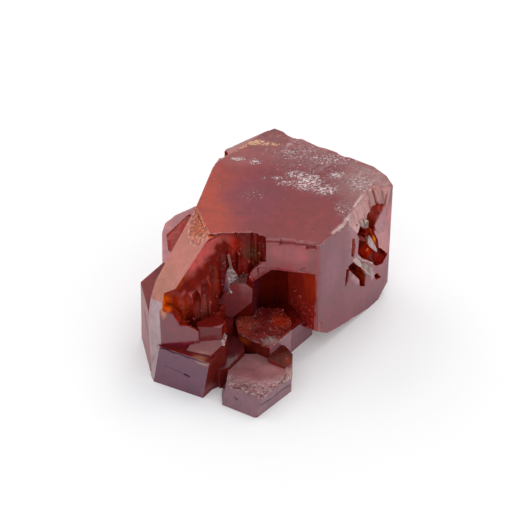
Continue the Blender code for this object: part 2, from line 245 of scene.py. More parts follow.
@dataclass(frozen=True)
class Region:
    """Rule that flat faces are sorted by, and how the faces that it holds for are dressed.

    The low and high corners are those of a box that the face's middle lies in. With `wall` they
    are measured along the right-hand wall from the lead crystal's front corner, up it and out of
    it. The look is an azimuth, a slope from straight up, and how many degrees a face may differ.
    """

    ground: Ground
    tone: Triple
    low: Triple = (-FAR, -FAR, -FAR)
    high: Triple = (FAR, FAR, FAR)
    look: Optional[Triple] = None
    wall: bool = False
    square: bool = False
    flecks: float = 0.0
    crust: float = 0.0
    dull: float = 0.0
    step: float = 0.23
    largest: float = FAR * FAR
    name: str = ""

    def holds(self, normal: Array, centre: Array, area: float) -> bool:
        """Whether a flat face belongs here.

        Args:
            normal: The way it looks.
            centre: Its middle, in the drawing frame.
            area: Its area in square millimetres.

        Returns:
            True where every part of the rule fits.
        """
        place = WALL_AXES @ (centre - LEAD_CORNER) if self.wall else centre
        if np.any(place < self.low) or np.any(place > self.high) or area > self.largest:
            return False
        if self.square and abs(normal @ WALL_AXES[2]) > 0.08:
            return False
        if self.look is None:
            return True
        azimuth, slope, within = self.look
        return bool(normal @ facing(azimuth, slope) > cos(radians(within)))


# A face takes the first rule that holds for it
REGIONS: tuple[Region, ...] = (
    Region(FOOT, (160, 30, 30), high=(FAR, FAR, 0.01), look=(0, 180, 10)),
    # The lead crystal's end, the sloping face on its left and the shallow one behind
    Region(FLAT_END, (197, 5, 10), low=(-FAR, -FAR, 13.69), look=(0, 0, 1), flecks=0.26, dull=0.08,
        step=0.18),
    Region(PYRAMID, (460, 135, 98), look=(LEFT, 37, 3), step=0.12),
    Region(PYRAMID, (430, 70, 15), (-8, -5, 13.3), (-4, 2, 13.65), (0, 0, 6), dull=0.3),
    # The narrow step between the slope and the end is painted paler and matt so that it does not
    # read as a dark line: painted light against its shade
    Region(PYRAMID, (520, 150, 85), (-7.5, -5, 13.2), look=(-163.2, 90, 6), dull=0.9),
    Region(PLAIN, (360, 100, 90), look=(135, 20, 3), flecks=0.1),
    Region(HOLLOW, (300, 8, 4), low=(-5.2, 6.2, 11), high=(-3, 9, 13.69), dull=0.7),
    Region(SHARD, (340, 65, 70), low=(-0.7, -6, 12.85), high=(5.2, -4.4, 13.69), flecks=0.3,
        crust=0.4),
    # The light strip down the left edge, the outer left crystal, and the rear left one. The strip's
    # pale pink-grey tone, with its gloss damped, is partly a painted reflection of the white floor
    Region(WALL, (430, 290, 310), (-11, -9.6, 0), (-9.4, -8, 9.5), (-114.9, 90, 3), dull=0.45),
    Region(WALL, (430, 290, 310), look=(-142, 67, 3), dull=0.45),
    Region(WALL, (370, 240, 260), (-11, -10, 0), (-9.8, -8, 4), (-160.4, 79.4, 4), dull=0.45),
    Region(WALL, (260, 85, 90), (-12, -9, 0), (-10.4, -3, 7.2), (-167.2, 88.3, 3), dull=0.62,
        name="outer"),
    Region(PLAIN, (235, 30, 30), (-12, -9, 7.1), (-8, 0, 7.3), (0, 0, 3), dull=0.5),
    Region(PLAIN, (440, 170, 175), (-10.5, -5, 9.9), (-3.5, 5.2, 10.1), (0, 0, 3), dull=0.2),
    Region(RECESS, (400, 50, 45), look=(-70, 50, 4), crust=0.4, flecks=0.1, dull=0.6),
    # These two inner walls of the hollow are far paler than the crystal's own red: painted light,
    # lifting them out of the shade that the hollow casts
    Region(RECESS, (700, 180, 160), (-10, -1, 6), (-6, 4, 10.2), (-120.6, 90, 4), dull=0.3),
    Region(RECESS, (900, 260, 220), (-10, -1, 6), (-6, 4, 10), (-34.8, 90, 4), dull=0.3),
    # The wing's scooped front
    Region(PLAIN, (480, 50, 42), look=(-58.4, 65, 3), flecks=0.3, dull=0.5, step=0.16,
        name="inner"),
    Region(WALL, (155, 4, 16), (-10, -9.7, 4.5), (-5.9, -8.9, 9), (-99.4, 90, 2)),
    Region(WALL, (250, 6, 11), (-1.7, -6, 8.4), (5.2, -4.5, 13.7), (-99.3, 90, 2), flecks=0.06,
        name="front"),
    Region(WALL, (235, 40, 44), (-5, -5.35, 5), (-0.8, -4.9, 8), (-99.3, 90, 2), dull=0.25),
    Region(SHARD, (150, 50, 45), (-4.2, -5.2, 7), (-2.4, -4.3, 9.4), (-67.9, 76, 6), flecks=1,
        crust=0.7, step=0.12),
    Region(SHARD, (200, 70, 50), (-4.2, -5.2, 9.5), (-2.4, -4.3, 12), (-99.3, 90, 4), flecks=0.5,
        crust=0.4),
    Region(SHARD, (200, 60, 50), (-3.2, -5.6, 7.4), (-0.6, -3.4, 9.2), (171.8, 8.9, 4), flecks=0.7,
        crust=0.7, dull=0.4, step=0.12),
    Region(PLAIN, (320, 150, 190), (-4.4, -5.3, 6.5), (-3.2, -4.5, 9), (-137, 85, 6)),
    # The small crystal in front of the wing
    Region(PLAIN, (130, 6, 5), (-6.5, -9.8, 6), (-3.4, -7.4, 7.3), (120, 12, 4), dull=0.7),
    Region(WALL, (130, 8, 10), (-6.4, -9.9, 4.8), (-4, -9, 7.2), (-97.8, 90, 3), dull=0.55),
    Region(PLAIN, (225, 35, 36), (-7.5, -10.9, 4), (-4, -8.8, 6.3), (-118, 36, 4), flecks=0.4,
        crust=0.4, step=0.12),
    # Full white flecks on this face stand in for glints: painted highlights
    Region(SHARD, (190, 55, 55), (-5.3, -10.9, 4), (-3.2, -8.6, 6.3), (-30, 50, 4), flecks=1,
        crust=0.5, dull=0.3, step=0.12),
    Region(HOLLOW, (120, 5, 3), (-4.2, -9.7, 4), (-3.3, -8.2, 7.2), (-17.7, 90, 4), dull=0.8),
    # The scoop, left and right of the pillar
    Region(HOLLOW, (200, 9, 4), (-9.7, -9.1, 4.05), (-3.95, -4, 9.3), flecks=0.14, crust=0.35,
        dull=0.8, step=0.16, name="scoop"),
    Region(HOLLOW, (200, 10, 5), (-9.9, -9.1, 9.3), (-3.95, -3.9, 13.69), flecks=0.1, crust=0.3,
        dull=0.7, step=0.16),
    Region(HOLLOW, (158, 5, 3), (-4.3, -5.1, 7.4), (0.3, -3.5, 13.69), flecks=0.12, crust=0.3,
        dull=0.8, step=0.16, name="nook"),
    # The crystals low in front: middle one, foot on its right, wedge, plate
    Region(DRUSE, (258, 20, 16), (-3.2, -9, 3.5), (2.7, -3, 3.65), (0, 0, 3), flecks=0.3, crust=0.6,
        dull=0.45, step=0.12, name="crusted"),
    Region(WALL, (130, 8, 4), (-3, -9, 0), (0.6, -6.4, 3.6), (-124.1, 90, 3), dull=0.8),
    Region(WALL, (262, 95, 118), (0, -9, 0), (2.8, -6, 3.6), (-39.9, 90, 3), dull=0.1),
    Region(WALL, (250, 10, 6), (-3.3, -7, 0), (-2.2, -4.5, 3.6), dull=0.7),
    Region(WALL, (190, 50, 70), (2.2, -7.3, 0), (4.9, -3, 3), (-40.3, 90, 3), dull=0.1),
    Region(DRUSE, (230, 12, 8), (0.3, -7.4, 1.5), (4.9, -1, 3), (-20, 12, 4), dull=0.7),
    Region(SHARD, (100, 12, 6), (0, -10.2, 2), (2.8, -7, 2.8), (-60, 14, 4), flecks=0.4, crust=0.6,
        dull=0.8),
    Region(SHARD, (100, 10, 6), (0, -10.2, 2), (2.8, -7, 2.8), (0, 0, 4), dull=0.7),
    Region(SHARD, (220, 14, 8), (0, -10.3, 2.12), (2.8, -7, 2.75), dull=0.5),
    Region(LOW_END, (390, 168, 175), (-4.5, -14.5, 2.05), (2.8, -7.3, 2.15), (0, 0, 3), flecks=0.08,
        crust=0.15, step=0.13, name="plate"),
    Region(WALL, (210, 72, 102), (-4.5, -14.5, 0), (-0.5, -12, 2.1), (-118, 74, 4), dull=0.1,
        name="plate front"),
    Region(WALL, (220, 90, 115), (-1, -14.5, 0), (2.7, -9.6, 2.1), (-43.7, 90, 3), flecks=0.1,
        dull=0.2, name="plate right"),
    Region(WALL, (130, 35, 50), (-4.6, -13.3, 0), (-3, -9.8, 2.1), (175, 76, 4), dull=0.5),
    Region(WALL, (200, 40, 50), (2, -11.6, 0), (2.8, -7.5, 2.75), dull=0.4),
    # The mass between, and the front left crystal
    Region(SHARD, (120, 14, 18), (-5, -10.6, 2.3), (-1.8, -6, 2.8), (-60, 6, 14), dull=0.75),
    Region(WALL, (130, 9, 6), (-5, -10.6, 0), (-1.8, -6, 5), look=(-40, 90, 70), dull=0.75),
    Region(WALL, (118, 10, 50), (-10, -12, 0), (-4.5, -8.5, 4.3), (-114.7, 80.5, 3), step=0.16,
        name="slab"),
    Region(WALL, (135, 8, 5), (-5.6, -12, 0), (-3.8, -9, 4.3), (-37.7, 93.4, 4), flecks=0.4,
        crust=0.9, dull=0.75),
    Region(PLAIN, (160, 7, 6), (-10, -11.6, 4.1), (-3.8, -5, 4.3), (0, 0, 3), dull=0.5),
    # The cave
    Region(CAVE, (320, 18, 10), (1.8, -6.4, 0), (5, -1.8, 10.2), (-146.7, 90, 3), flecks=0.12,
        dull=0.75, name="cave right"),
    Region(PLAIN, (130, 12, 20), (-2.6, -5.5, 2.3), (0.2, -1.5, 10.2), (-14, 90, 16), dull=0.5),
    Region(CAVE, (130, 6, 3), (-3.1, -6.6, 0.9), (4.7, -1, 10.2), dull=0.85),
    # The pocket in the right-hand wall: its blades, its back, its sides, then the wall itself
    Region(SHARD, (150, 60, 45), (6.2, 10.9, -0.6), (7.5, 12.1, 0.3), (RIGHT, 90, 24), True,
        flecks=0.5, crust=0.3, dull=0.2, step=0.12, largest=8),
    Region(SHARD, (420, 270, 260), (5, 4.5, -0.3), (7.8, 8.5, 0.7), (-30.2, 79.3, 12), True,
        dull=0.2, largest=8),
    Region(SHARD, (160, 10, 5), (5.4, 4.4, -1.9), (10.8, 10.4, -0.2), (RIGHT, 90, 28), True,
        dull=0.9, largest=5),
    Region(SHARD, (560, 120, 100), (4.8, 8.2, -4), (5.7, 11.2, 0.06), (-129.3, 90, 22), True,
        dull=0.4, largest=5),
    Region(HOLLOW, (270, 10, 3), (3.5, 2.5, -4.5), (12, 12.4, -0.35), (RIGHT, 90, 3), True,
        dull=0.75),
    Region(HOLLOW, (265, 10, 4), (3.5, 2.5, -4.5), (12, 12.4, 0.02), None, True, square=True,
        dull=0.7),
    Region(WALL, (180, 6, 24), (-0.2, -1, -0.2), (14, 13.7, 0.3), (RIGHT, 90, 3), True, flecks=0.05,
        dull=0.08, name="right"),
    Region(RECESS, (515, 235, 220), (2.6, 6.4, -3.2), (14, 13.69, 0.3), (RIGHT, 75, 82), True,
        flecks=0.4, crust=0.12, dull=0.1, step=0.12),
    # Unseen: the broken rear, the small crystals at its foot, and the underside
    Region(BROKEN, (190, 30, 24), look=(0, 180, 70), flecks=0.1, crust=0.7, dull=0.3),
    Region(PLAIN, (180, 20, 26), low=(-9, 2, 0.5), high=(12, 13, 8), look=(0, 0, 12)),
    Region(BROKEN, (200, 32, 26), look=(58.6, 90, 75), flecks=0.2, crust=0.7, dull=0.2,
        largest=1.4),
    Region(WALL, (170, 18, 28), flecks=0.04),
)


def column(which: Array, part: str) -> Array:
    """One part of the rules of the regions that are numbered."""
    return np.array([getattr(region, part) for region in REGIONS])[which]


@dataclass(frozen=True)
class Groove:
    """Crack or pit sunk into one region: its line, its half-width and its depth."""

    region: str
    line: Line
    width: float
    depth: float
    stretch: float = 0.08

    def course(self) -> Array:
        """Places along the line, a stretch apart.

        Returns:
            The places, one row each.
        """
        places, found = np.array(self.line), []
        for a, b in zip(places[:-1], places[1:]):
            pieces = max(1, int(np.linalg.norm(b - a) / self.stretch))
            found.append(a + (b - a) * (np.arange(pieces) / pieces)[:, None])
        return np.vstack([*found, places[-1:]])

    def share(self, points: Array) -> Array:
        """How far each point is sunk, from 0 at the brink to 1 in the middle."""
        return ease(self.width * 1.35, self.width * 0.2, off_line(points, self.line))


GROOVES: tuple[Groove, ...] = (
    Groove("slab", ((-9.6, -9.2, 4.04), (-9.15, -9.42, 4.12), (-8.5, -9.7, 3.98),
        (-7.9, -9.95, 4.08), (-7.2, -10.3, 3.96), (-6.6, -10.55, 4.05), (-5.9, -10.9, 3.98),
        (-5.4, -11.1, 4.06)), 0.07, 0.16),
    Groove("slab", ((-9.3, -9.69, 2.22), (-8.54, -10.05, 2.1), (-7.79, -10.41, 2.05),
        (-7.4, -10.62, 1.9)), 0.035, 0.05),
    Groove("slab", ((-7.4, -10.6, 1.95), (-7.12, -10.74, 1.86)), 0.1, 0.2),
    Groove("outer", ((-11.25, -5.6, 5.1), (-11.15, -6.2, 4.7), (-11.05, -6.7, 4.2),
        (-10.95, -7.1, 3.9)), 0.2, 0.2),
    Groove("plate right", ((-0.4, -13.8, 1.3), (0.6, -12.8, 1.05), (1.5, -11.85, 1.15),
        (2.3, -11, 0.95)), 0.07, 0.14),
    Groove("plate front", ((-2.85, -12.85, 1.25), (-2.6, -13, 1.12)), 0.09, 0.16),
    Groove("plate", ((-2.9, -12.2, 2.1), (-2.2, -12.65, 2.1), (-1.2, -13.1, 2.1),
        (-0.4, -13.35, 2.1), (0.3, -12.7, 2.1), (0.9, -12.2, 2.1), (1.7, -11.3, 2.1),
        (1.95, -10.6, 2.1)), 0.06, 0.05),
    Groove("front", ((3.6, -5.5, 10.7), (3.25, -5.45, 10.4), (3.7, -5.5, 10.25)), 0.05, 0.06),
    Groove("right", ((5.15, -5.5, 3.9), (5.35, -5.3, 3.4), (5.3, -5.35, 2.9)), 0.05, 0.06),
    Groove("right", ((8, -2, 8.2), (7.9, -2.1, 7.6), (7.95, -2.05, 7.1)), 0.04, 0.04),
)


# Pale rims, partly real chips and partly painted edge highlights: the line that each follows, how
# far it reaches and how strong it is
CHIPS_AND_EDGE_HIGHLIGHTS: tuple[tuple[Line, float, float], ...] = (
    (((-5.3, -4.4, 13.6), (-4.7, -4.1, 13.7), (-3.9, -3.98, 13.7), (-1.6, -3.98, 13.7),
        (-0.5, -4.7, 13.7), (0.4, -4.95, 13.7)), 0.16, 0.83),
    (((0.4, -4.95, 13.7), (2, -5.2, 13.7), (4.98, -5.74, 13.7)), 0.22, 0.87),
    (((4.98, -5.74, 13.7), (6.2, -4.35, 13.7), (7.1, -3.4, 13.7)), 0.22, 0.78),
    (((7.1, -3.3, 13.7), (7.9, -1.7, 13.7), (8.6, -0.4, 13.7), (9.3, 1.2, 13.7), (11.3, 3, 13.7)),
        0.5, 0.83),
    (((2.6, 9.6, 13.7), (5.2, 7.7, 13.7), (7.6, 6.1, 13.7), (9.4, 4.9, 13.7), (11.4, 3.2, 13.7)),
        0.55, 0.78),
    (((-5.28, -4.36, 13.43), (-6.83, -5.95, 11.92), (-8.46, -7.37, 10.39), (-9.55, -8.6, 9.3)),
        0.12, 0.69),
    (((4.98, -5.74, 13.3), (4.98, -5.74, 3)), 0.1, 0.44),
    (((-2.3, -6.95, 3.6), (0.2, -8.6, 3.6), (0.9, -8.2, 3.6)), 0.28, 0.87),
    (((-0.1, -7.6, 3.6), (1.5, -7.3, 3.6)), 0.8, 0.78),
    (((1.9, -9.6, 2.1), (2.45, -10.7, 2.1), (1.7, -11.8, 2.1)), 0.45, 0.87),
    (((1.2, -12.4, 2.1), (-0.5, -13.9, 2.1), (-2.6, -12.9, 2.1)), 0.35, 0.78),
    (((-4.6, -7.2, 4.3), (-4.1, -6.9, 4.6)), 0.5, 0.78),
)


@dataclass(frozen=True)
class Blotch:
    """Soft patch of another tone: on which grounds, where, how wide each way, and how strong."""

    only: Grounds
    centre: Triple
    reach: Triple
    tone: Triple
    strength: float

    def share(self, p: Array) -> Array:
        """Strength at each point: full inside a third of the reach, nothing beyond it.

        Args:
            p: Places in millimetres.

        Returns:
            One strength for each place.
        """
        wander = (cloud(p, 2.8, 201, 2) - 0.5)[:, None] * 0.4
        away = np.linalg.norm((p - self.centre) / self.reach + wander, axis=1)
        return self.strength * ease(1.0, 0.3, away)


BLOTCHES: tuple[Blotch, ...] = (
    # The flat end: orange left, purple middle, brown-red front and right, dusty rear
    Blotch(FLAT_END, (3, 8.6, TOP), (8.5, 4.6, 3), (245, 46, 46), 1),
    Blotch(FLAT_END, (9.6, 3.2, TOP), (4, 4.6, 3), (293, 103, 96), 1),
    Blotch(FLAT_END, (-6.8, 0.6, TOP), (7.2, 10.5, 3), (385, 30, 4), 1),
    Blotch(FLAT_END, (-1.4, 0.6, TOP), (3.6, 5.4, 3), (190, 8, 26), 0.75),
    Blotch(FLAT_END, (4.6, -2.6, TOP), (6.5, 4.2, 3), (215, 5, 5), 0.8),
    Blotch(FLAT_END, (-2.4, 6.9, TOP), (2.6, 2.2, 3), (330, 70, 60), 0.6),
    # The slope's hillocks, and its duller lower end
    Blotch(PYRAMID, (-6.1, -2.8, 13.2), (1.4, 2.6, 1.8), (480, 90, 18), 1),
    Blotch(PYRAMID, (-9.3, -6.8, 10.2), (2.4, 3, 2.4), (430, 145, 85), 0.9),
    # Painted glow of light through the crystal at the scoop's left end, orange amid darker red, and
    # its trail over the rim
    Blotch(DEEP, (-9.1, -8.3, 8.8), (0.95, 1.2, 1.5), (740, 120, 2), 1),
    Blotch(DEEP, (-8, -7.9, 7.9), (1.6, 1.3, 2.2), (300, 22, 4), 0.8),
    Blotch(WALL, (-9.3, -9, 8.3), (0.36, 0.6, 0.9), (620, 220, 90), 0.8),
    # Painted shade: a greenish dark middle of the nook; painted light: red on its sides
    Blotch(HOLLOW, (-1.3, -4.3, 11.2), (1.1, 1.2, 1.9), (100, 22, 6), 0.85),
    Blotch(HOLLOW, (-2.9, -4.2, 12.2), (1.3, 1.2, 1.4), (330, 14, 4), 0.7),
    Blotch(HOLLOW, (-3.9, -4.3, 12.9), (1.1, 0.9, 0.9), (380, 55, 45), 0.8),
    Blotch(HOLLOW, (-5.6, -6.7, 7), (1.7, 1.5, 1.9), (400, 75, 60), 0.8),
    Blotch(HOLLOW, (-4.6, -5.6, 8.4), (1, 1.4, 2.2), (270, 18, 6), 0.6),
    # The cave's lit right side
    Blotch(CAVE, (4.2, -5.2, 8.6), (1.6, 1.8, 3.2), (400, 28, 8), 0.9),
    Blotch(CAVE, (3.6, -4.2, 3), (2, 2.4, 2.2), (250, 12, 10), 0.8),
    # The crusted end: orange-red glow right and left, dark rear
    Blotch(DRUSE, (1.6, -5, 3.6), (1.5, 1.7, 1), (460, 32, 6), 0.9),
    Blotch(DRUSE, (-1.9, -5.6, 3.6), (1.5, 1.7, 1), (450, 62, 35), 0.85),
    Blotch(DRUSE, (-0.3, -3.9, 3.6), (1.9, 1.3, 1), (190, 10, 12), 0.8),
    Blotch(WALL, (-1.9, -7, 2.9), (0.9, 0.9, 0.8), (420, 60, 6), 0.8),
    # Tan stains where the small crystal meets the slab, and on the slab's rim
    Blotch((PLAIN, SHARD), (-5.9, -10.5, 4.5), (1.1, 0.7, 0.7), (360, 160, 100), 0.7),
    Blotch(WALL, (-5.7, -10.95, 3.95), (1, 0.7, 0.34), (400, 200, 130), 0.7),
    Blotch(WALL, (-4.9, -11.2, 0.7), (1.2, 1.2, 0.9), (260, 60, 70), 0.8),
    # The pocket's glow
    Blotch(HOLLOW, (9.1, 0.2, 4.8), (1.1, 1.2, 1.1), (420, 36, 6), 0.9),
    Blotch(HOLLOW, (9.7, 1.4, 10), (0.8, 0.9, 1.6), (380, 30, 8), 0.8),
    Blotch(HOLLOW, (10.5, 2.1, 11), (1.5, 1.5, 1.5), (800, 110, 75), 0.9),
    # The right-hand wall: paler and pinker to the right, a red patch at its lower left corner
    Blotch(WALL, (11.2, 1.6, 8.6), (2.2, 2.4, 6.5), (420, 72, 76), 0.9),
    Blotch(WALL, (5.1, -5.6, 3.2), (0.7, 0.8, 0.9), (280, 12, 10), 0.9),
    Blotch(WALL, (6.4, -4.2, 9.5), (1.8, 1.8, 3.6), (250, 40, 80), 0.6),
    # The front wall's lighter upper part
    Blotch(WALL, (2.4, -5.4, 12.4), (3.4, 1.5, 1.6), (380, 40, 50), 0.7),
    # The crusted end's chipped front corner, and tan chips on the plate's right rim
    Blotch(DRUSE, (0.5, -7.9, 3.6), (1.1, 0.8, 0.5), (440, 270, 250), 0.8),
    Blotch((LOW_END, WALL), (2.2, -10.9, 2.1), (0.5, 1.4, 0.5), (580, 350, 260), 0.9),
    # Orange light in the wedge's right end
    Blotch(SHARD, (2.1, -9.2, 2.5), (0.5, 0.7, 0.5), (300, 35, 8), 0.6),
    # The plate's end
    Blotch(LOW_END, (-1.6, -11, 2.1), (2.6, 2.4, 1), (300, 102, 112), 0.8),
    Blotch(LOW_END, (1.4, -10.3, 2.1), (1.6, 1.9, 1), (380, 150, 150), 0.7),
)


@dataclass(frozen=True)
class Streak:
    """Ragged band of another tone that follows a line, and makes it duller where asked."""

    only: Grounds
    line: Line
    reach: float
    tone: Triple
    strength: float
    dull: float = 0.0

    def share(self, p: Array) -> Array:
        """Strength at each point: full near the line, nothing beyond the reach."""
        ragged = (cloud(p, 0.6, 207, 2) - 0.5) * 0.9
        return self.strength * ease(1.0, 0.3, off_line(p, self.line) / self.reach + ragged)


STREAKS: tuple[Streak, ...] = (
    # The inner face turns dark red toward the scoop and brown-orange at its low end
    Streak(PLAIN, ((-3.57, -4.21, 12.18), (-4.48, -5.17, 11.45), (-5.48, -6.12, 10.83),
        (-6.65, -7.14, 10.29), (-7.55, -7.73, 10.22), (-8.44, -8.4, 9.99)), 1.3, (165, 7, 3), 1,
        0.95),
    Streak(PLAIN, ((-7.3, -6.8, 11.6), (-8.26, -7.97, 10.58)), 0.9, (280, 30, 4), 0.7),
    # The outer crystal's dark patch runs on down its wall
    Streak(WALL, ((-10.7, -7.5, 7.2), (-10.73, -7.71, 6.1)), 0.4, (210, 12, 12), 0.9),
    # The right-hand wall: pink columns beside the pocket, paler to its right and below it
    Streak(WALL, ((7.8, -2.29, 13.4), (8.16, -1.86, 11.41), (8.44, -1.51, 8.56)), 0.8,
        (340, 85, 105), 0.7),
    Streak(WALL, ((10.56, 1.07, 10.03), (10.92, 1.52, 8.35), (11.4, 2.11, 6.52)), 1.2,
        (470, 135, 135), 0.8),
    Streak(WALL, ((8.22, -1.78, 6.24), (8.76, -1.13, 4.97)), 0.5, (420, 170, 170), 0.8),
    Streak(WALL, ((10, 0.4, 5), (10.3, 0.76, 3.84)), 0.4, (480, 300, 290), 0.7),
    # Chips along the flat end's right rim
    Streak(FLAT_END, ((6.2, -3.95, 13.7), (7.33, -2.6, 13.7)), 0.26, (600, 390, 370), 0.9),
    Streak(FLAT_END, ((7.5, -2.2, 13.7), (7.95, -1.5, 13.7)), 0.34, (620, 410, 400), 0.95),
    Streak(FLAT_END, ((8.3, -0.3, 13.7), (9.02, 1.01, 13.7)), 0.26, (600, 400, 380), 0.9),
)

# Flecked patches of the flat end: middle, half-widths, strength
FLECKED: tuple[tuple[float, ...], ...] = (
    (4.1, 3.1, 2.6, 2.2, 1.2), (5.6, 2.0, 2.3, 1.4, 1.12), (2.9, 4.2, 2.0, 1.2, 1.08),
    (2.0, 3.0, 1.6, 0.8, 1.0), (6.7, 4.2, 1.6, 0.9, 1.15), (7.9, 3.3, 1.3, 0.8, 0.85),
    (1.1, 3.7, 1.1, 0.6, 0.95), (-0.1, 3.6, 0.6, 0.4, 0.8), (-2.5, 6.5, 1.4, 0.6, 1.2),
    (-0.9, 6.1, 1.1, 0.8, 1.05), (6.2, 6.4, 4.2, 1.6, 0.97), (3.0, 7.4, 3.6, 2.1, 0.88),
    (9.0, 3.2, 2.3, 2.9, 0.92), (7.3, -0.6, 1.5, 2.4, 0.8), (4.6, 4.4, 6.4, 4.6, 0.66),
    (-1.2, 1.4, 2.6, 1.8, 0.6),
)

# Tan stain of the flat end: places along it, and its half-width at each
STAINED: Line = (
    (-2.9, 7.7, 0.08), (-2.2, 8.3, 0.14), (-1.5, 8.85, 0.24), (-0.7, 9.1, 0.42), (0.1, 8.75, 0.40),
    (0.9, 8.7, 0.24), (1.6, 8.6, 0.10),
)


@dataclass
class Surface:
    """Fine mesh of the specimen in the drawing frame, whose triangles know their flat face."""

    points: Array
    triangles: Array
    facet: Array
    normals: Array
    regions: Array
    rim: Array

    def pairs(self) -> tuple[Array, Array]:
        """Each vertex with each flat face that it lies on, as two matching lists of numbers."""
        joined = self.triangles.ravel() * len(self.normals) + np.repeat(self.facet, 3)
        return np.divmod(np.unique(joined), len(self.normals))

    def spread(self, by_facet: Array) -> Array:
        """Mean over a vertex's flat faces of the row of values that each flat face has.

        Args:
            by_facet: The rows of values, one for each flat face.

        Returns:
            One row for each vertex.
        """
        vertex, facet = self.pairs()
        total = np.zeros((len(self.points), by_facet.shape[1]))
        np.add.at(total, vertex, by_facet[facet])
        return total / np.bincount(vertex, minlength=len(self.points))[:, None]


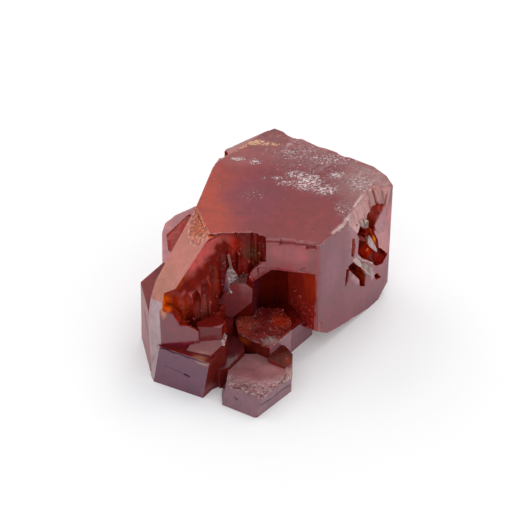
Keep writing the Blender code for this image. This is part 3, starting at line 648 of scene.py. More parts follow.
@dataclass
class Mesher:
    """Meshes the solid's flat faces again as a fine, even net of triangles.

    Lengths are in millimetres, but for `weld`, which is in the source's metres.
    """

    seed: int = 7
    edge_step: float = 0.14
    ring: float = 0.09
    coarse: float = 0.4
    jitter: float = 0.22
    row_pitch: float = 0.866
    crease: float = radians(12.0)
    level: float = radians(0.3)
    weld: float = 1e-6
    merge: float = 1e-6
    groove_gap: float = 0.05
    groove_margin: float = 0.02

    def inside(self, outline: Array, points: Array) -> Array:
        """Whether each point is in the outline: a ray to +x crosses an odd number of sides.

        Args:
            outline: The outline's corners, in its plane.
            points: The points, in the same.

        Returns:
            True for each point inside.
        """
        a, b = outline, np.roll(outline, -1, axis=0)
        x, y = points[:, :1], points[:, 1:]
        spans = (a[:, 1] > y) != (b[:, 1] > y)
        with np.errstate(divide="ignore", invalid="ignore"):
            reach = a[:, 0] + (y - a[:, 1]) / (b[:, 1] - a[:, 1]) * (b[:, 0] - a[:, 0])
        return (np.sum(spans & (x < reach), axis=1) % 2).astype(bool)

    def fill(self, outline: Array, step: float, courses: list[Array],
             rng: np.random.Generator) -> Array:
        """Points in an outline: a ring within its sides, a jittered grid, and grooves' courses.

        Args:
            outline: The flat face's corners, in its own plane.
            step: Spacing of the hexagonal grid.
            courses: Places along each groove on the face, in its plane.
            rng: Source of the jitter.

        Returns:
            The points, one row each.
        """
        following = np.roll(outline, -1, axis=0)
        ring = (outline + following) / 2.0 + across(following - outline) * self.ring
        low, high = outline.min(0), outline.max(0)
        x = np.arange(low[0], high[0] + step, step)
        y = np.arange(low[1], high[1] + step, step * self.row_pitch)
        grid = np.stack(np.meshgrid(x, y), axis=-1)
        grid[1::2, :, 0] += step / 2.0
        shift = rng.uniform(-self.jitter, self.jitter, (len(x) * len(y), 2))
        grid = grid.reshape(-1, 2) + shift * step
        closed, found = np.vstack((outline, outline[:1])), []
        margins = (self.ring * 0.8, self.ring + step * 0.5, *[self.groove_margin] * len(courses))
        for points, margin in zip((ring, grid, *courses), margins):
            points = points[self.inside(outline, points)]
            points = points[off_line(points, closed) > margin]
            for course in courses if margin > self.groove_margin else ():
                gap = np.linalg.norm(points[:, None] - course[None], axis=2).min(1)
                points = points[gap > self.groove_gap]
            found.append(points)
        return np.vstack(found)

    def courses(self, name: str, origin: Array, plane: Array) -> list[Array]:
        """Grooves of a region in a face's plane, each as a middle row with one on either side.

        Args:
            name: The region's name.
            origin: The plane's own origin, in the drawing frame.
            plane: Its two directions.

        Returns:
            The places of each groove.
        """
        found = []
        for groove in GROOVES:
            if groove.region == name:
                flat = (groove.course() - origin) @ plane.T
                side = across(np.gradient(flat, axis=0)) * groove.width
                found.append(np.vstack((flat, flat + side, flat - side)))
        return found

    def mesh(self, source: bpy.types.Mesh) -> Surface:
        """Join the solid's triangles into flat faces, sort them and net each of them.

        Args:
            source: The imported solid's mesh, which stays as it is.

        Returns:
            The fine surface.
        """
        bm = bmesh.new()
        bm.from_mesh(source)
        bmesh.ops.remove_doubles(bm, verts=bm.verts[:], dist=self.weld)
        parts = {"verts": bm.verts[:], "edges": bm.edges[:]}
        bmesh.ops.dissolve_limit(bm, angle_limit=self.level, **parts)
        bm.normal_update()
        bm.verts.index_update()
        bm.edges.index_update()
        corner = np.array([v.co[:] for v in bm.verts]) / METRES + MIDDLE
        blocks, count = [corner], len(corner)
        rims, along = [np.zeros(len(corner))], {}
        for edge in bm.edges:
            a, b = (v.index for v in edge.verts)
            pieces = max(1, round(edge.calc_length() / METRES / self.edge_step))
            t = np.linspace(0.0, 1.0, pieces + 1)[1:-1, None]
            blocks.append(corner[a] * (1.0 - t) + corner[b] * t)
            bend = edge.calc_face_angle_signed(0.0)
            sharp = np.sign(bend) if abs(bend) > self.crease else 0.0
            rims.append(np.full(pieces - 1, sharp))
            for v in (a, b):
                if abs(sharp) > abs(rims[0][v]) or sharp > rims[0][v]:
                    rims[0][v] = sharp
            along[edge.index] = (a, [a, *range(count, count + pieces - 1), b])
            count += pieces - 1
        corners = np.vstack(blocks)
        rng = np.random.default_rng(self.seed)
        inner, triangles, facet, normals, regions = [], [], [], [], []
        for face in bm.faces:
            loop = []
            for turn in face.loops:
                first, ids = along[turn.edge.index]
                loop.extend((ids if turn.vert.index == first else ids[::-1])[:-1])
            n = np.array(face.normal)
            u = unit(np.cross(n, (0.0, 0.0, 1.0) if abs(n[2]) < 0.9 else (0.0, 1.0, 0.0)))
            plane = np.array((u, np.cross(n, u)))
            middle = np.mean([corner[v.index] for v in face.verts], axis=0)
            area = face.calc_area() / METRES**2
            which = next(k for k, region in enumerate(REGIONS) if region.holds(n, middle, area))
            region, origin = REGIONS[which], corners[loop].mean(0)
            outline = (corners[loop] - origin) @ plane.T
            unseen = origin[2] < 0.01 or n[1] > 0.6
            courses = self.courses(region.name, origin, plane)
            within = self.fill(outline, self.coarse if unseen else region.step, courses, rng)
            flat = np.vstack((outline, within)).tolist()
            out = delaunay_2d_cdt(flat, [], [list(range(len(outline)))], 1, self.merge)
            names = np.array(loop + list(range(count, count + len(within))))
            inner.append(origin + within @ plane)
            count += len(within)
            net = names[np.array([o[0] for o in out[3]])[np.array(out[2])]]
            net = net[np.all(net != np.roll(net, -1, axis=1), axis=1)]
            triangles.append(net)
            facet.append(np.full(len(net), len(normals)))
            normals.append(n)
            regions.append(which)
        bm.free()
        points = np.vstack([corners, *inner])
        rim = np.concatenate([*rims, np.zeros(len(points) - len(corners))])
        net, facet, normals = np.vstack(triangles), np.concatenate(facet), np.array(normals)
        a, b, c = (points[net[:, k]] for k in range(3))
        turned = (np.cross(b - a, c - a) * normals[facet]).sum(1) < 0.0
        net[turned] = net[turned][:, ::-1]
        return Surface(points, net, facet, normals, np.array(regions), rim)


# Noise of each ground's height: how high, how far it is squeezed upright, cell, seed and layers
ROUGH: dict[Ground, tuple[tuple[float, float, float, int, int], ...]] = {
    PYRAMID: ((0.01, 1.0, 1.5, 20, 3),),
    WALL: ((0.025, 0.12, 0.5, 31, 3), (0.03, 1.0, 3.0, 32, 2)),
    RECESS: ((0.07, 0.04, 0.34, 41, 2),),
    HOLLOW: ((0.3, 0.12, 0.5, 51, 2), (0.14, 1.0, 0.45, 52, 3)),
    CAVE: ((0.1, 0.12, 0.6, 55, 2), (0.1, 1.0, 0.5, 56, 3)),
    DRUSE: ((0.14, 1.0, 0.5, 64, 3),),
    LOW_END: ((0.02, 1.0, 0.9, 71, 3),),
    SHARD: ((0.05, 1.0, 0.5, 77, 3),),
    PLAIN: ((0.03, 1.0, 0.8, 79, 3),),
    BROKEN: ((0.5, 1.0, 1.7, 81, 3),),
}


@dataclass
class Relief:
    """Lifts and lowers the surface: growth lines, columns, crust, breaks, cracks, worn edges."""

    chip: float = 0.07
    wear: float = 0.016
    terraces: float = 9.0
    terrace: float = 0.02
    patch: Triple = (-6.1, -2.8, 13.2)
    patch_reach: Triple = (1.1, 2.3, 1.6)
    source: Triple = (-7.8, 0.6, 13.0)
    ridge_gap: float = 0.42
    ridge_depth: float = 0.10
    wander: float = 3.6

    def hillocks(self, p: Array) -> tuple[Array, Array]:
        """The slope's patch of growth hillocks: its share, and its ridges from 0 to 1.

        The ridges are evenly spaced arcs about a point up the slope, which noise makes wander.

        Args:
            p: Places in millimetres.

        Returns:
            The patch's share and the ridges, one value for each place.
        """
        patch = ease(1.0, 0.8, np.linalg.norm((p - self.patch) / self.patch_reach, axis=1))
        arc = np.linalg.norm((p - self.source) * (1.0, 1.0, 0.6), axis=1)
        waves = arc / self.ridge_gap + self.wander * cloud(p, 1.0, 22)
        return patch, np.abs(np.sin(pi * waves))

    def height(self, kind: Ground, p: Array) -> Array:
        """Height in millimetres that a kind of face has at each point.

        Most is layered noise. Squeezed along the height it gives upright lines on walls, and
        columns in hollows. Crusts are rows of rounded seeds.

        Args:
            kind: What the face is.
            p: Places, one row each.

        Returns:
            The height at each place.
        """
        total = np.zeros(len(p))
        for high, squeeze, size, seed, octaves in ROUGH.get(kind, ()):
            total += high * (cloud(p * (1.0, 1.0, squeeze), size, seed, octaves) - 0.5)
        if kind is FLAT_END:
            steps = np.floor(cloud(p, 3.2, 11, 2) * self.terraces) / self.terraces
            rear = ease(3.5, 9.0, p[:, 1] + 0.35 * p[:, 0])
            total += self.terrace * steps + (0.006 + 0.17 * rear) * (cloud(p, 0.6, 12) - 0.5)
        if kind is PYRAMID:
            patch, ridges = self.hillocks(p)
            total -= self.ridge_depth * patch * (1.0 - ridges)
        if kind is DRUSE:
            total += 0.14 * (0.6 - pebbles(p, 0.36, 61))
        if kind is LOW_END:
            low = ease(-11.2, -13.2, toward_front(p))
            total += low * (0.16 * (0.5 - pebbles(p, 0.34, 74)) - 0.10)
        if kind is BROKEN:
            total += 0.1 * (0.5 - pebbles(p, 0.6, 84))
        return total

    def apply(self, surface: Surface) -> None:
        """Move the vertices by their faces' relief, and wear and chip the outer edges.

        Args:
            surface: The fine surface, whose points are moved.
        """
        vertex, facet = surface.pairs()
        which, places = surface.regions[facet], surface.points[vertex]
        kinds, names = column(which, "ground"), column(which, "name")
        height = np.zeros(len(vertex))
        for kind in Ground:
            here = kinds == kind
            height[here] = self.height(kind, places[here])
        for groove in GROOVES:
            here = names == groove.region
            height[here] -= groove.depth * groove.share(places[here])
        total = np.zeros(len(surface.points))
        np.add.at(total, vertex, height)
        total /= np.bincount(vertex, minlength=len(total))
        outer = surface.rim > 0.0
        chips = ease(0.52, 0.8, cloud(surface.points, 0.8, 91)) * cloud(surface.points, 0.25, 92)
        total[outer] = -self.wear - self.chip * chips[outer]
        total[vertex[kinds == FOOT]] = 0.0
        surface.points += unit(surface.spread(surface.normals)) * total[:, None]
        surface.points[:, 2] = np.maximum(surface.points[:, 2], 0.0)


def toward_front(p: Array) -> Array:
    """How far back each point of the small front crystal's end lies, measured to its worn V."""
    return p[:, 1] - 0.35 * np.abs(p[:, 0] + 0.5)


@dataclass
class Painter:
    """Gives every corner of the mesh its tone and its marks, as smooth formulas of its place."""

    relief: Relief
    rim_flecks_and_highlights: float = 0.45
    rim_crust: float = 0.4
    crack_shade: float = 0.9
    ridge_shade: float = 0.6

    def tone(self, which: Array, facet: Array, p: Array) -> Array:
        """Base colour of each corner: its region's tone, with the blotches laid over it in turn.

        Args:
            which: The corner's region.
            facet: The corner's flat face, which varies the tone in the hollows.
            p: The corner's place.

        Returns:
            One colour a row.
        """
        colour = linear(column(which, "tone"))
        kinds, names = column(which, "ground"), column(which, "name")
        for patch in (*BLOTCHES, *STREAKS):
            here = np.isin(kinds, patch.only)
            colour[here] += patch.share(p[here])[:, None] * (linear(patch.tone) - colour[here])
        facets = 0.85 + 0.3 * hashed(np.stack((facet, facet, facet), axis=1), 5)
        streaky = 0.45 + 1.1 * cloud(p * (1.0, 1.0, 0.14), 0.36, 401, 2)
        colour *= np.where(kinds == HOLLOW, facets * streaky, 1.0)[:, None]
        colour *= np.where(np.isin(names, ("inner", "front")), 0.5 + 0.5 * streaky, 1.0)[:, None]
        share, ridges = self.relief.hillocks(p)
        shade = self.ridge_shade * share * ease(0.6, 0.15, ridges) * (kinds == PYRAMID)
        colour *= (1.0 - shade)[:, None]
        for groove in GROOVES:
            here = names == groove.region
            colour[here] *= 1.0 - self.crack_shade * groove.share(p[here])[:, None]
        return colour

    def marks(self, which: Array, p: Array, rim: Array) -> Array:
        """Flecks, crust, stain and dullness of each corner.

        Args:
            which: The corner's region.
            p: The corner's place.
            rim: Above 0 on the solid's outer edges.

        Returns:
            Four strengths a row, from 0.
        """
        parts = ("flecks", "crust", "dull", "ground")
        flecks, crust, dull, kinds = (column(which, part) for part in parts)
        top = kinds == FLAT_END
        for x, y, wide, deep, strength in FLECKED:
            away = np.hypot((p[:, 0] - x) / wide, (p[:, 1] - y) / deep)
            flecks = np.maximum(flecks, top * strength * ease(1.15, 0.2, away))
        # Flecks along every outer edge: partly chips, partly painted edge highlights
        edge = (rim > 0.0) & (kinds != FOOT)
        flecks = np.maximum(flecks, self.rim_flecks_and_highlights * edge)
        crust = np.maximum(crust, self.rim_crust * edge)
        outside = ~np.isin(kinds, (HOLLOW, CAVE, BROKEN))
        ragged = 0.55 + 0.9 * cloud(p, 0.5, 301, 2)
        # Pale rims along the listed lines: partly chips, partly painted edge highlights
        for line, reach, strength in CHIPS_AND_EDGE_HIGHLIGHTS:
            share = outside * strength * ease(reach, reach * 0.2, off_line(p, line) / ragged)
            flecks, crust = np.maximum(flecks, share), np.maximum(crust, share)
        for streak in STREAKS:
            here = np.isin(kinds, streak.only)
            dull[here] = np.maximum(dull[here], streak.dull * streak.share(p[here]))
        low_end = (kinds == LOW_END) * ease(-10.4, -13.0, toward_front(p))
        flecks, crust = np.maximum(flecks, low_end), np.maximum(crust, 0.8 * low_end)
        stain, wander = np.zeros(len(p)), 0.4 + 1.2 * cloud(p, 0.6, 303, 2)
        for (ax, ay, wide_a), (bx, by, wide_b) in zip(STAINED[:-1], STAINED[1:]):
            line = np.array((bx - ax, by - ay))
            t = np.clip(((p[:, :2] - (ax, ay)) @ line) / (line @ line), 0.0, 1.0)
            away = np.linalg.norm(p[:, :2] - (ax, ay) - t[:, None] * line, axis=1)
            wide = (wide_a + (wide_b - wide_a) * t) * wander
            stain = np.maximum(stain, top * ease(1.2, 0.5, away / wide))
        return np.stack((flecks, crust, stain, dull), axis=1)


class Value:
    """Number socket of a shader, which Python's operators extend with Math nodes."""

    def __init__(self, shader: "Shader", socket: bpy.types.NodeSocket) -> None:
        """Keep the shader and the socket."""
        self.shader, self.socket = shader, socket

    def _math(self, operation: str, first: object, second: object) -> "Value":
        """Math node of two values."""
        return self.shader.make("ShaderNodeMath", {"operation": operation}, {0: first, 1: second})

    def __add__(self, other: object) -> "Value":
        """Sum."""
        return self._math("ADD", self, other)

    def __sub__(self, other: object) -> "Value":
        """Difference."""
        return self._math("SUBTRACT", self, other)

    def __rsub__(self, other: object) -> "Value":
        """Difference from a number."""
        return self._math("SUBTRACT", other, self)

    def __mul__(self, other: object) -> "Value":
        """Product."""
        return self._math("MULTIPLY", self, other)

    __radd__, __rmul__ = __add__, __mul__

    def least(self, other: object) -> "Value":
        """The smaller of two."""
        return self._math("MINIMUM", self, other)

    def most(self, other: object) -> "Value":
        """The larger of two."""
        return self._math("MAXIMUM", self, other)

    def eased(self, low: Number, high: Number) -> "Value":
        """Smooth step from 0 at low to 1 at high."""
        settings = {"interpolation_type": "SMOOTHSTEP"}
        return self.shader.make("ShaderNodeMapRange", settings, {0: self, 1: low, 2: high})


class Shader:
    """One material's node tree and the few ways in which this scene adds nodes to it."""

    def __init__(self, name: str) -> None:
        """Start a material with its Principled shader.

        Args:
            name: The material's name.
        """
        self.material = bpy.data.materials.new(name)
        self.material.use_nodes = True
        self.tree = self.material.node_tree
        self.surface = self.tree.nodes["Principled BSDF"]

    def make(self, kind: str, settings: dict, values: dict, output: Union[int, str] = 0) -> Value:
        """Add a node.

        Args:
            kind: The node's type.
            settings: Its properties, which are set first.
            values: Its sockets, as for `fill`.
            output: Which of its outputs is wanted.

        Returns:
            That output.
        """
        node = self.tree.nodes.new(kind)
        for key, value in settings.items():
            setattr(node, key, value)
        self.fill(node, values)
        return Value(self, node.outputs[output])

    def fill(self, node: bpy.types.Node, values: dict) -> None:
        """Link each Value to its socket of a node, and set the other sockets to their values.

        Args:
            node: The node.
            values: Its sockets by name or number, each a number, a tuple or a Value.
        """
        for key, value in values.items():
            if isinstance(value, Value):
                self.tree.links.new(value.socket, node.inputs[key])
            else:
                node.inputs[key].default_value = value

    def blend(self, share: object, first: object, second: object, mode: str = "MIX") -> Value:
        """Colour between two: the first at share 0 and the second at share 1."""
        settings = {"data_type": "RGBA", "blend_type": mode, "clamp_factor": True}
        return self.make("ShaderNodeMix", settings, {0: share, 6: first, 7: second}, 2)

    def noise(self, place: Value, scale: float, detail: float = 3.0, rough: float = 0.55) -> Value:
        """Noise from 0 to 1 at a place, with the scale in cells per unit."""
        values = {"Vector": place, "Scale": scale, "Detail": detail, "Roughness": rough}
        return self.make("ShaderNodeTexNoise", {}, values)

    def scaled(self, place: Value, factors: Triple) -> Value:
        """Place multiplied part by part."""
        return self.make("ShaderNodeVectorMath", {"operation": "MULTIPLY"}, {0: place, 1: factors})

    def finish(self, values: dict, share: object) -> None:
        """Give the glossy shader and a matt twin the same inputs, and mix them by a share.

        Args:
            values: The inputs, as for `fill`.
            share: How much of the twin is mixed in.
        """
        matt = self.tree.nodes.new("ShaderNodeBsdfPrincipled")
        self.fill(self.surface, values)
        self.fill(matt, {**values, "Specular IOR Level": 0.0})
        twins = (Value(self, node.outputs[0]) for node in (self.surface, matt))
        mixed = self.make("ShaderNodeMixShader", {}, dict(enumerate((share, *twins))))
        self.fill(self.tree.nodes["Material Output"], {"Surface": mixed})


@dataclass(frozen=True)
class CrystalFinish:
    """Glossy, very refractive deep red, with flecks, crust and stain where the marks ask."""

    name: str = "vanadinite"
    refraction: float = 1.78
    gloss: float = 0.17
    glow: float = 0.22
    glow_reach: Triple = (1.0, 0.12, 0.05)
    glow_scale: float = 0.0011
    fleck: Colour = (0.70, 0.56, 0.56, 1.0)
    stain: Colour = (0.62, 0.34, 0.17, 1.0)
    etched: Colour = (0.07, 0.014, 0.022, 1.0)

    def build(self) -> bpy.types.Material:
        """Make the material, whose pattern is fixed to the object.

        Returns:
            The material.
        """
        s = Shader(self.name)
        here = s.make("ShaderNodeTexCoord", {}, {}, "Object")
        here = s.scaled(here, (1.0 / METRES,) * 3)
        tone = s.make("ShaderNodeAttribute", {"attribute_name": "tone"}, {}, "Color")
        marks = s.make("ShaderNodeAttribute", {"attribute_name": "marks"}, {}, "Color")
        dull = s.make("ShaderNodeAttribute", {"attribute_name": "marks"}, {}, "Alpha")
        separate = "ShaderNodeSeparateColor"
        flecks, crust, stain = (s.make(separate, {}, {0: marks}, k) for k in range(3))

        broad = s.noise(here, 0.22, 2.0)
        middle = s.noise(here, 1.1, 4.0)
        fine = s.noise(here, 3.4, 3.0, 0.6)
        grain = s.noise(here, 9.0, 2.0, 0.7)
        dashes = s.noise(s.scaled(here, (3.2, 4.4, 4.0)), 1.0, 5.0, 0.65)
        lines = s.noise(s.scaled(here, (5.0, 5.0, 0.25)), 1.0, 2.0)

        shade = (broad - 0.5) * 0.6 + (middle - 0.5) * 0.7 + (lines - 0.5) * 0.4 + 1.0
        grey = s.make("ShaderNodeCombineColor", {}, {0: shade, 1: shade, 2: shade})
        colour = s.blend(1.0, tone, grey, "MULTIPLY")

        speckle = dashes * 0.6 + grain * 0.4
        scatter = (speckle - 0.5) * 1.7 + 0.5
        vein = s.noise(here, 1.9, 2.0) - 0.5
        hair = vein.most(0.0 - vein).eased(0.022, 0.004) * fine.eased(0.45, 0.55)
        hair = hair * flecks.eased(0.4, 1.1) * 0.55
        white = (scatter + flecks * 0.30).eased(0.83, 0.90).most(hair)
        tan = (speckle + stain * 0.1).eased(0.54, 0.63) * stain.eased(0.02, 0.3)
        etch = s.noise(here, 2.7, 3.0) - 0.5
        etch = etch.most(0.0 - etch).eased(0.050, 0.012) * middle.eased(0.40, 0.50)
        colour = s.blend(tan, colour, self.stain)
        colour = s.blend(etch * flecks.eased(0.35, 0.85) * 0.8, colour, self.etched)
        colour = s.blend(white * 0.9, colour, self.fleck)

        rough = crust * 0.30 + white * 0.3 + (middle - 0.5) * 0.08 + self.gloss
        height = grain * (crust * 0.7 + flecks * 0.5 + 0.03)
        height = height + lines * 0.12 + fine * 0.08 + white * 0.4
        bump = {"Strength": 0.5, "Distance": 0.00008, "Height": height}
        s.finish({
            "Base Color": colour,
            "Roughness": rough.most(0.06).least(0.8),
            "Normal": s.make("ShaderNodeBump", {}, bump),
            "IOR": self.refraction,
            "Subsurface Weight": self.glow,
            "Subsurface Radius": self.glow_reach,
            "Subsurface Scale": self.glow_scale,
        }, dull)
        return s.material


def lay(name: str, points: Array, faces: Array, tone: Array, marks: Array,
        material: bpy.types.Material, smooth: float) -> None:
    """Make one finished piece that rides on the root body in the solid's place.

    Args:
        name: The piece's name.
        points: Its vertices in the drawing frame, in millimetres.
        faces: Its triangles.
        tone: Base colour of every face corner.
        marks: Flecks, crust, stain and dullness of every face corner.
        material: Its finish.
        smooth: Angle in degrees above which an edge stays sharp.
    """
    mesh = bpy.data.meshes.new(name)
    mesh.from_pydata((points - MIDDLE) * METRES, [], faces)
    for label, values in (("tone", np.column_stack((tone, np.ones(len(tone))))), ("marks", marks)):
        layer = mesh.attributes.new(label, "FLOAT_COLOR", "CORNER")
        layer.data.foreach_set("color", values.ravel())
    mesh.shade_smooth()
    mesh.set_sharp_from_angle(angle=radians(smooth))
    mesh.materials.append(material)
    piece = bpy.data.objects.new(name, mesh)
    bpy.context.scene.collection.objects.link(piece)
    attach(piece, "root")
    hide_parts(NODE)
    LOG.info("%s: %d triangles", name, len(faces))


@dataclass
class Druse:
    """Crust of tiny hexagonal prisms, each standing a little out of the face under it.

    A seeding is a region, a box in it, how many crystals, how bright, and the largest radius.
    """

    name: str = "vanadinite_druse"
    seed: int = 31
    smooth: float = 20.0
    smallest: float = 0.05
    lean: float = 0.3
    sunk: float = 0.8
    marks: Colour = (0.25, 0.1, 0.0, 0.25)
    seedings: tuple[tuple[str, Triple, Triple, int, float, float], ...] = (
        ("crusted", (-3.2, -9, 3), (2.7, -3, 4), 340, 0.9, 0.11),
        ("plate", (-4.5, -14.5, 2), (2.8, -12, 2.3), 240, 1.1, 0.11),
        ("cave right", (2.5, -6.4, 0), (5, -2, 6), 90, 1.3, 0.11),
        ("scoop", (-9.5, -9.1, 4), (-4, -4, 9), 120, 1.2, 0.11),
        ("nook", (-4.3, -5.1, 7.4), (0.3, -3.5, 13), 60, 1.5, 0.1),
    )

    def build(self, surface: Surface, tone: Array, material: bpy.types.Material) -> None:
        """Seed the crystals and make the piece.

        Every prism is a hexagon that is set into the face, leaned at random from its normal, and
        ended flat at a height of 0.4 to 1.2 radii.

        Args:
            surface: The finished fine surface.
            tone: Base colour of every corner of it.
            material: The specimen's finish.
        """
        rng = np.random.default_rng(self.seed)
        corners = surface.points[surface.triangles]
        cross = np.cross(corners[:, 1] - corners[:, 0], corners[:, 2] - corners[:, 0])
        area = np.linalg.norm(cross, axis=1) / 2.0
        middle = corners.mean(1)
        corner_tone = tone.reshape(-1, 3, 3).mean(1)
        names = column(surface.regions[surface.facet], "name")
        rows = []
        for region, low, high, count, bright, largest in self.seedings:
            here = (names == region) & np.all((middle > low) & (middle < high), axis=1)
            chosen = np.flatnonzero(here)
            picked = rng.choice(chosen, count, p=area[chosen] / area[chosen].sum())
            weight = rng.dirichlet((1.0, 1.0, 1.0), count)
            place = (weight[:, :, None] * corners[picked]).sum(1)
            radius = rng.uniform(self.smallest, largest, count)
            lift = rng.uniform(0.4, 1.2, count) * radius
            shade = bright * rng.uniform(0.6, 1.5, (count, 1))
            rows.append((place, unit(cross[picked]), radius, lift, corner_tone[picked] * shade))
        place, normal, radius, lift, colour = (np.concatenate(part) for part in zip(*rows))
        lean = unit(normal + rng.normal(0.0, self.lean, normal.shape))
        side = unit(np.cross(lean, rng.normal(0.0, 1.0, lean.shape)))
        turn = (np.arange(6) * pi / 3.0)[None, :, None]
        spoke = side[:, None] * np.cos(turn) + np.cross(lean, side)[:, None] * np.sin(turn)
        spoke *= radius[:, None, None]
        low = place - lean * radius[:, None] * self.sunk
        high = place + lean * lift[:, None]
        points = np.concatenate((low[:, None] + spoke, high[:, None] + spoke), axis=1)
        points = points.reshape(-1, 3)
        points[:, 2] = np.maximum(points[:, 2], 0.05)
        net = np.vstack((band(6), fan(6) + 6, fan(6)[:, (0, 2, 1)]))
        faces = (net[None] + 12 * np.arange(len(place))[:, None, None]).reshape(-1, 3)
        corner = np.repeat(np.clip(colour, 0.0, 0.9), net.size, axis=0)
        marks = np.tile(self.marks, (len(corner), 1))
        lay(self.name, points, faces, corner, marks, material, self.smooth)


@dataclass(frozen=True)
class Blade:
    """Small crystal in the pocket: its outline along and up the right-hand wall, and its depths.

    The outline runs anticlockwise as the wall is faced. The end lies at `front` out of the wall's
    plane, is drawn in to `inset` of the outline, and slopes back by `bevel` to its sides. A level
    blade has its outline along x and y instead, and its depths are heights that rise by `level` a
    millimetre along each. A spot is a soft ellipse: its middle, its half-widths and its tone.
    """

    outline: tuple[tuple[float, float], ...]
    front: float
    back: float
    bevel: float
    tone: Triple
    dull: float
    inset: float
    spots: tuple[tuple[float, float, float, float, Triple], ...] = ()
    level: Optional[tuple[float, float]] = None

    def solid(self) -> tuple[Array, Array]:
        """Three rings of corners joined by bands, and two flat fans.

        Returns:
            Corners along, up and out of the wall, and the triangles.
        """
        ring = np.array(self.outline)
        count, middle = len(ring), ring.mean(0)
        small = middle + (ring - middle) * self.inset
        depths = (self.back, self.front - self.bevel, self.front)
        points = np.column_stack((np.vstack((ring, ring, small)), np.repeat(depths, count)))
        if self.level:
            points[:, 2] += points[:, :2] @ self.level
        cap = fan(count)
        return points, np.vstack((band(count), band(count) + count, cap + 2 * count, cap[:, ::-1]))


# The brightest orange spots, on the first and fourth blades, are painted glow of light through them
BLADES: tuple[Blade, ...] = (
    Blade(((6.65, 7.8), (7.17, 6.92), (7.84, 6.04), (8.6, 5.3), (8.9, 5.54), (9.36, 5.94),
        (9.08, 6.59), (8.21, 7.85), (7.37, 8.96), (6.56, 9.46)), -0.4, -1.6, 0.14, (225, 7, 2), 1,
        0.8, ((7, 8.9, 0.9, 1.2, (90, 6, 4)), (8.2, 6.6, 0.4, 1.1, (430, 22, 3)),
        (7.96, 7.36, 0.24, 0.22, (950, 200, 40)))),
    Blade(((6.56, 9.53), (7.37, 8.83), (8.21, 7.85), (8.52, 7.89), (7.84, 8.88), (6.85, 9.9),
        (6.28, 10.35)), -0.38, -1.4, 0.1, (220, 30, 18), 0.95, 0.6),
    Blade(((8.5, 5.42), (9.1, 4.69), (9.94, 4.14), (10.58, 4.29), (11.05, 4.71), (9.89, 6.19),
        (8.83, 6.52), (8.47, 5.87)), -0.12, -1.3, 0.4, (165, 6, 4), 1, 0.6,
        ((9.2, 6, 0.8, 0.5, (220, 14, 10)),)),
    Blade(((8.22, 9.26), (8.71, 8.15), (9.21, 7.03), (9.54, 6.34), (9.49, 7.02), (9.28, 7.95),
        (8.87, 8.87), (8.34, 9.8), (7.84, 10.35)), -0.14, -1.2, 0.08, (330, 26, 4), 0.9, 0.8,
        ((8.75, 8.5, 0.5, 1.2, (900, 240, 8)),)),
    Blade(((7.76, 8.91), (7.86, 8.28), (8.28, 7.52), (8.9, 6.69), (9.45, 6.01), (9.35, 6.58),
        (9, 7.48), (8.44, 8.51), (8.02, 9.21)), -0.2, -0.6, 0.06, (500, 330, 330), 0.4, 0.7),
    Blade(((6.37, 11.69), (6.68, 11.28), (6.75, 11.67), (6.56, 12.3), (6.26, 12.26)), -0.05, -0.6,
        0.04, (330, 220, 200), 0.4, 0.7),
    Blade(((6.95, 11.54), (7.24, 10.77), (7.38, 10.99), (7.3, 11.74), (6.78, 12.2)), -0.05, -0.6,
        0.04, (380, 260, 230), 0.4, 0.7),
    Blade(((5.35, 7.76), (5.95, 6.94), (6.55, 6.3), (6.39, 6.82), (5.93, 7.83), (5.37, 8.6),
        (4.81, 8.56)), 0.24, -0.1, 0.05, (480, 310, 300), 0.4, 0.85),
    Blade(((7.08, 5.12), (7.35, 5.4), (7.41, 6.01), (6.9, 6.81), (6.35, 7.03), (6.61, 6.27)), 0.22,
        -0.1, 0.06, (300, 180, 160), 0.4, 0.7),
    Blade(((7.33, 5.41), (7.1, 5.14), (7.31, 4.72), (7.8, 4.41), (8.14, 4.7), (7.83, 5.58),
        (7.39, 6.02)), 0.23, -0.1, 0.06, (240, 150, 130), 0.4, 0.7),
    Blade(((5.54, 8.48), (6.21, 7.6), (7.21, 6.6), (8.24, 5.62), (8.26, 5.78), (7.36, 6.72),
        (6.36, 7.72), (5.56, 8.69)), 0.19, -0.1, 0.03, (480, 240, 250), 0.3, 0.9),
    Blade(((9.81, 8.68), (10.05, 9.78), (9.87, 11.67), (9.54, 12.14), (9.24, 11.66), (8.77, 11.3),
        (8.4, 10.92), (8.19, 10.56), (8.48, 9.67), (8.91, 9.05)), 0.2, 0.08, 0.06, (340, 95, 115),
        0.15, 0.93),
    Blade(((-9.35, -0.47), (-8.85, -2.6), (-7.2, -1.95), (-5.1, 1.4), (-7.22, 2.92)), 6.725, 5.5,
        0.04, (360, 36, 26), 0.8, 0.9, level=(-0.347, 0.241)),
)


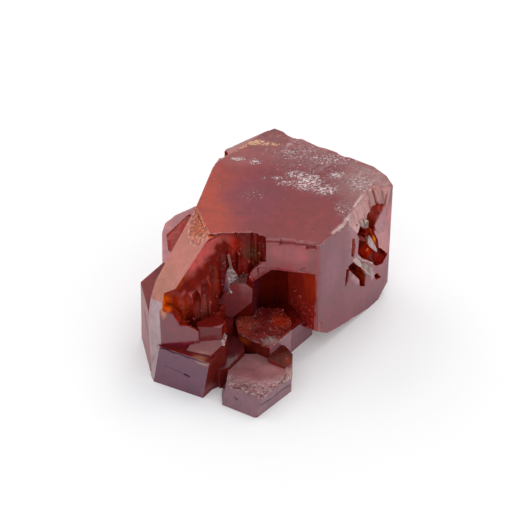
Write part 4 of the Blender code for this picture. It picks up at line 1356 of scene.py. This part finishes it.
@dataclass
class Blades:
    """Skeletal crystals in the pocket of the right-hand wall, and the splinters beside it."""

    name: str = "vanadinite_blades"
    smooth: float = 18.0
    rounds: int = 3
    marks: Triple = (0.3, 0.2, 0.0)

    def finer(self, points: Array, faces: Array) -> tuple[Array, Array]:
        """Every triangle cut into four at the middles of its sides.

        Args:
            points: The corners.
            faces: The triangles.

        Returns:
            The same, with the new corners after the old ones.
        """
        sides = np.stack((faces, np.roll(faces, -1, axis=1)), axis=2).reshape(-1, 2)
        unique, back = np.unique(np.sort(sides, axis=1), axis=0, return_inverse=True)
        a, b, c = faces.T
        ab, bc, ca = (len(points) + back.reshape(-1, 3)).T
        cuts = ((a, ab, ca), (ab, b, bc), (ca, bc, c), (ab, bc, ca))
        net = np.vstack([np.stack(cut, axis=1) for cut in cuts])
        return np.vstack((points, points[unique].mean(1))), net

    def build(self, material: bpy.types.Material) -> None:
        """Make the piece: every blade cut finely, roughened by noise and painted with its spots.

        Args:
            material: The specimen's finish.
        """
        shapes, nets, tones, marks, count = [], [], [], [], 0
        for blade in BLADES:
            points, faces = blade.solid()
            for _ in range(self.rounds):
                points, faces = self.finer(points, faces)
            colour = np.tile(linear(blade.tone), (len(points), 1))
            for along, up, wide, tall, tone in blade.spots:
                away = np.hypot((points[:, 0] - along) / wide, (points[:, 1] - up) / tall)
                colour += ease(1.1, 0.1, away)[:, None] * (linear(tone) - colour)
            if blade.level:
                place, out = points, np.array((0.0, 0.0, 1.0))
                grain = place * (3.0, 0.6, 1.0)
                streaky = cloud(grain, 1.0, 503) * 2.4 - 0.4
                lift = 0.16 * (cloud(grain, 0.9, 505) - 0.5)
            else:
                place, out = points @ WALL_AXES + LEAD_CORNER, WALL_AXES[2]
                streaky = cloud(place, 0.35, 503, 2)
                lift = 0.10 * (cloud(place, 0.5, 501) - 0.5)
            shapes.append(place + out * lift[:, None])
            nets.append(faces + count)
            tones.append(colour * (0.7 + 0.6 * streaky)[:, None])
            marks.append(np.tile((*self.marks, blade.dull), (len(points), 1)))
            count += len(points)
        net = np.vstack(nets)
        tone, mark = (np.vstack(parts)[net.ravel()] for parts in (tones, marks))
        lay(self.name, np.vstack(shapes), net, tone, mark, material, self.smooth)


@dataclass
class Crystals:
    """The whole cluster: the solid's faces netted finely, given relief, painted and crusted."""

    name: str = "vanadinite_crystals"
    smooth: float = 24.0

    def build(self) -> None:
        """Make the pieces that stand for the solid, all riding on the root body."""
        surface = Mesher().mesh(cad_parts[NODE].data)
        which = np.repeat(surface.regions[surface.facet], 3)
        corners = surface.triangles.ravel()
        relief = Relief()
        painter = Painter(relief)
        places = surface.points[corners]
        tone = painter.tone(which, np.repeat(surface.facet, 3), places)
        marks = painter.marks(which, places, surface.rim[corners])
        relief.apply(surface)
        material = CrystalFinish().build()
        lay(self.name, surface.points, surface.triangles, tone, marks, material, self.smooth)
        Druse().build(surface, tone, material)
        Blades().build(material)


@dataclass
class Studio:
    """White ground, even sky, softboxes and the camera at the photograph's angle.

    A softbox is a name, an azimuth and an elevation, a distance, a width and a radiance.
    """

    ambient: float = 0.78
    elevation: float = 43.0
    distance: float = 0.189286
    aim: Triple = (-0.00007, 0.001515, 0.006)
    lens: float = 135.0
    clip: tuple[float, float] = (0.01, 10.0)
    drop: float = 0.00002
    floor_size: float = 3.0
    floor_glow: float = 0.14
    white: Colour = (0.86, 0.86, 0.86, 1.0)
    air: Colour = (0.97, 0.98, 1.0, 1.0)
    softboxes: tuple[tuple[str, float, float, float, float, float], ...] = (
        ("softbox_left_rear", 142.0, 48.0, 0.30, 0.15, 1.6),
        ("softbox_above", 55.0, 60.0, 0.34, 0.20, 2.4),
    )

    def ground(self) -> None:
        """Lay the white floor just under the specimen."""
        below = (0.0, 0.0, -self.drop)
        bpy.ops.mesh.primitive_plane_add(size=self.floor_size, location=below)
        floor = bpy.context.object
        floor.name = "floor"
        shader = Shader("floor")
        shader.fill(shader.surface, {
            "Base Color": self.white,
            "Roughness": 0.9,
            "Specular IOR Level": 0.0,
            "Emission Color": (1.0, 1.0, 1.0, 1.0),
            "Emission Strength": self.floor_glow,
        })
        floor.data.materials.append(shader.material)

    def sky(self) -> None:
        """Even grey surroundings, which the faces mirror."""
        world = bpy.data.worlds.new("surroundings")
        world.use_nodes = True
        background = world.node_tree.nodes["Background"]
        background.inputs[0].default_value = self.air
        background.inputs[1].default_value = self.ambient
        bpy.context.scene.world = world

    def lights(self) -> None:
        """Add the softboxes: square area lights whose power is radiance times pi times area."""
        for name, azimuth, elevation, distance, size, radiance in self.softboxes:
            light = bpy.data.lights.new(name, "AREA")
            light.size = size
            light.energy = radiance * pi * size**2
            lamp = bpy.data.objects.new(name, light)
            lamp.location = facing(azimuth, 90.0 - elevation) * distance
            lamp.rotation_euler = (radians(90.0 - elevation), 0.0, radians(azimuth + 90.0))
            bpy.context.scene.collection.objects.link(lamp)

    def camera(self) -> None:
        """Set the camera straight in front, looking down at the specimen."""
        data = bpy.data.cameras.new("camera")
        data.lens = self.lens
        data.clip_start, data.clip_end = self.clip
        camera = bpy.data.objects.new("camera", data)
        tilt = 90.0 - self.elevation
        camera.location = np.array(self.aim) + facing(-90.0, tilt) * self.distance
        camera.rotation_euler = (radians(tilt), 0.0, 0.0)
        bpy.context.scene.collection.objects.link(camera)
        bpy.context.scene.camera = camera

    def build(self) -> None:
        """Set up the ground, the surroundings, the lights, the camera and the picture's tones."""
        self.ground()
        self.sky()
        self.lights()
        self.camera()
        bpy.context.scene.view_settings.view_transform = "Standard"


def main() -> None:
    """Build the cluster and its studio."""
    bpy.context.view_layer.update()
    Studio().build()
    Crystals().build()


if __name__ == "__main__":
    main()
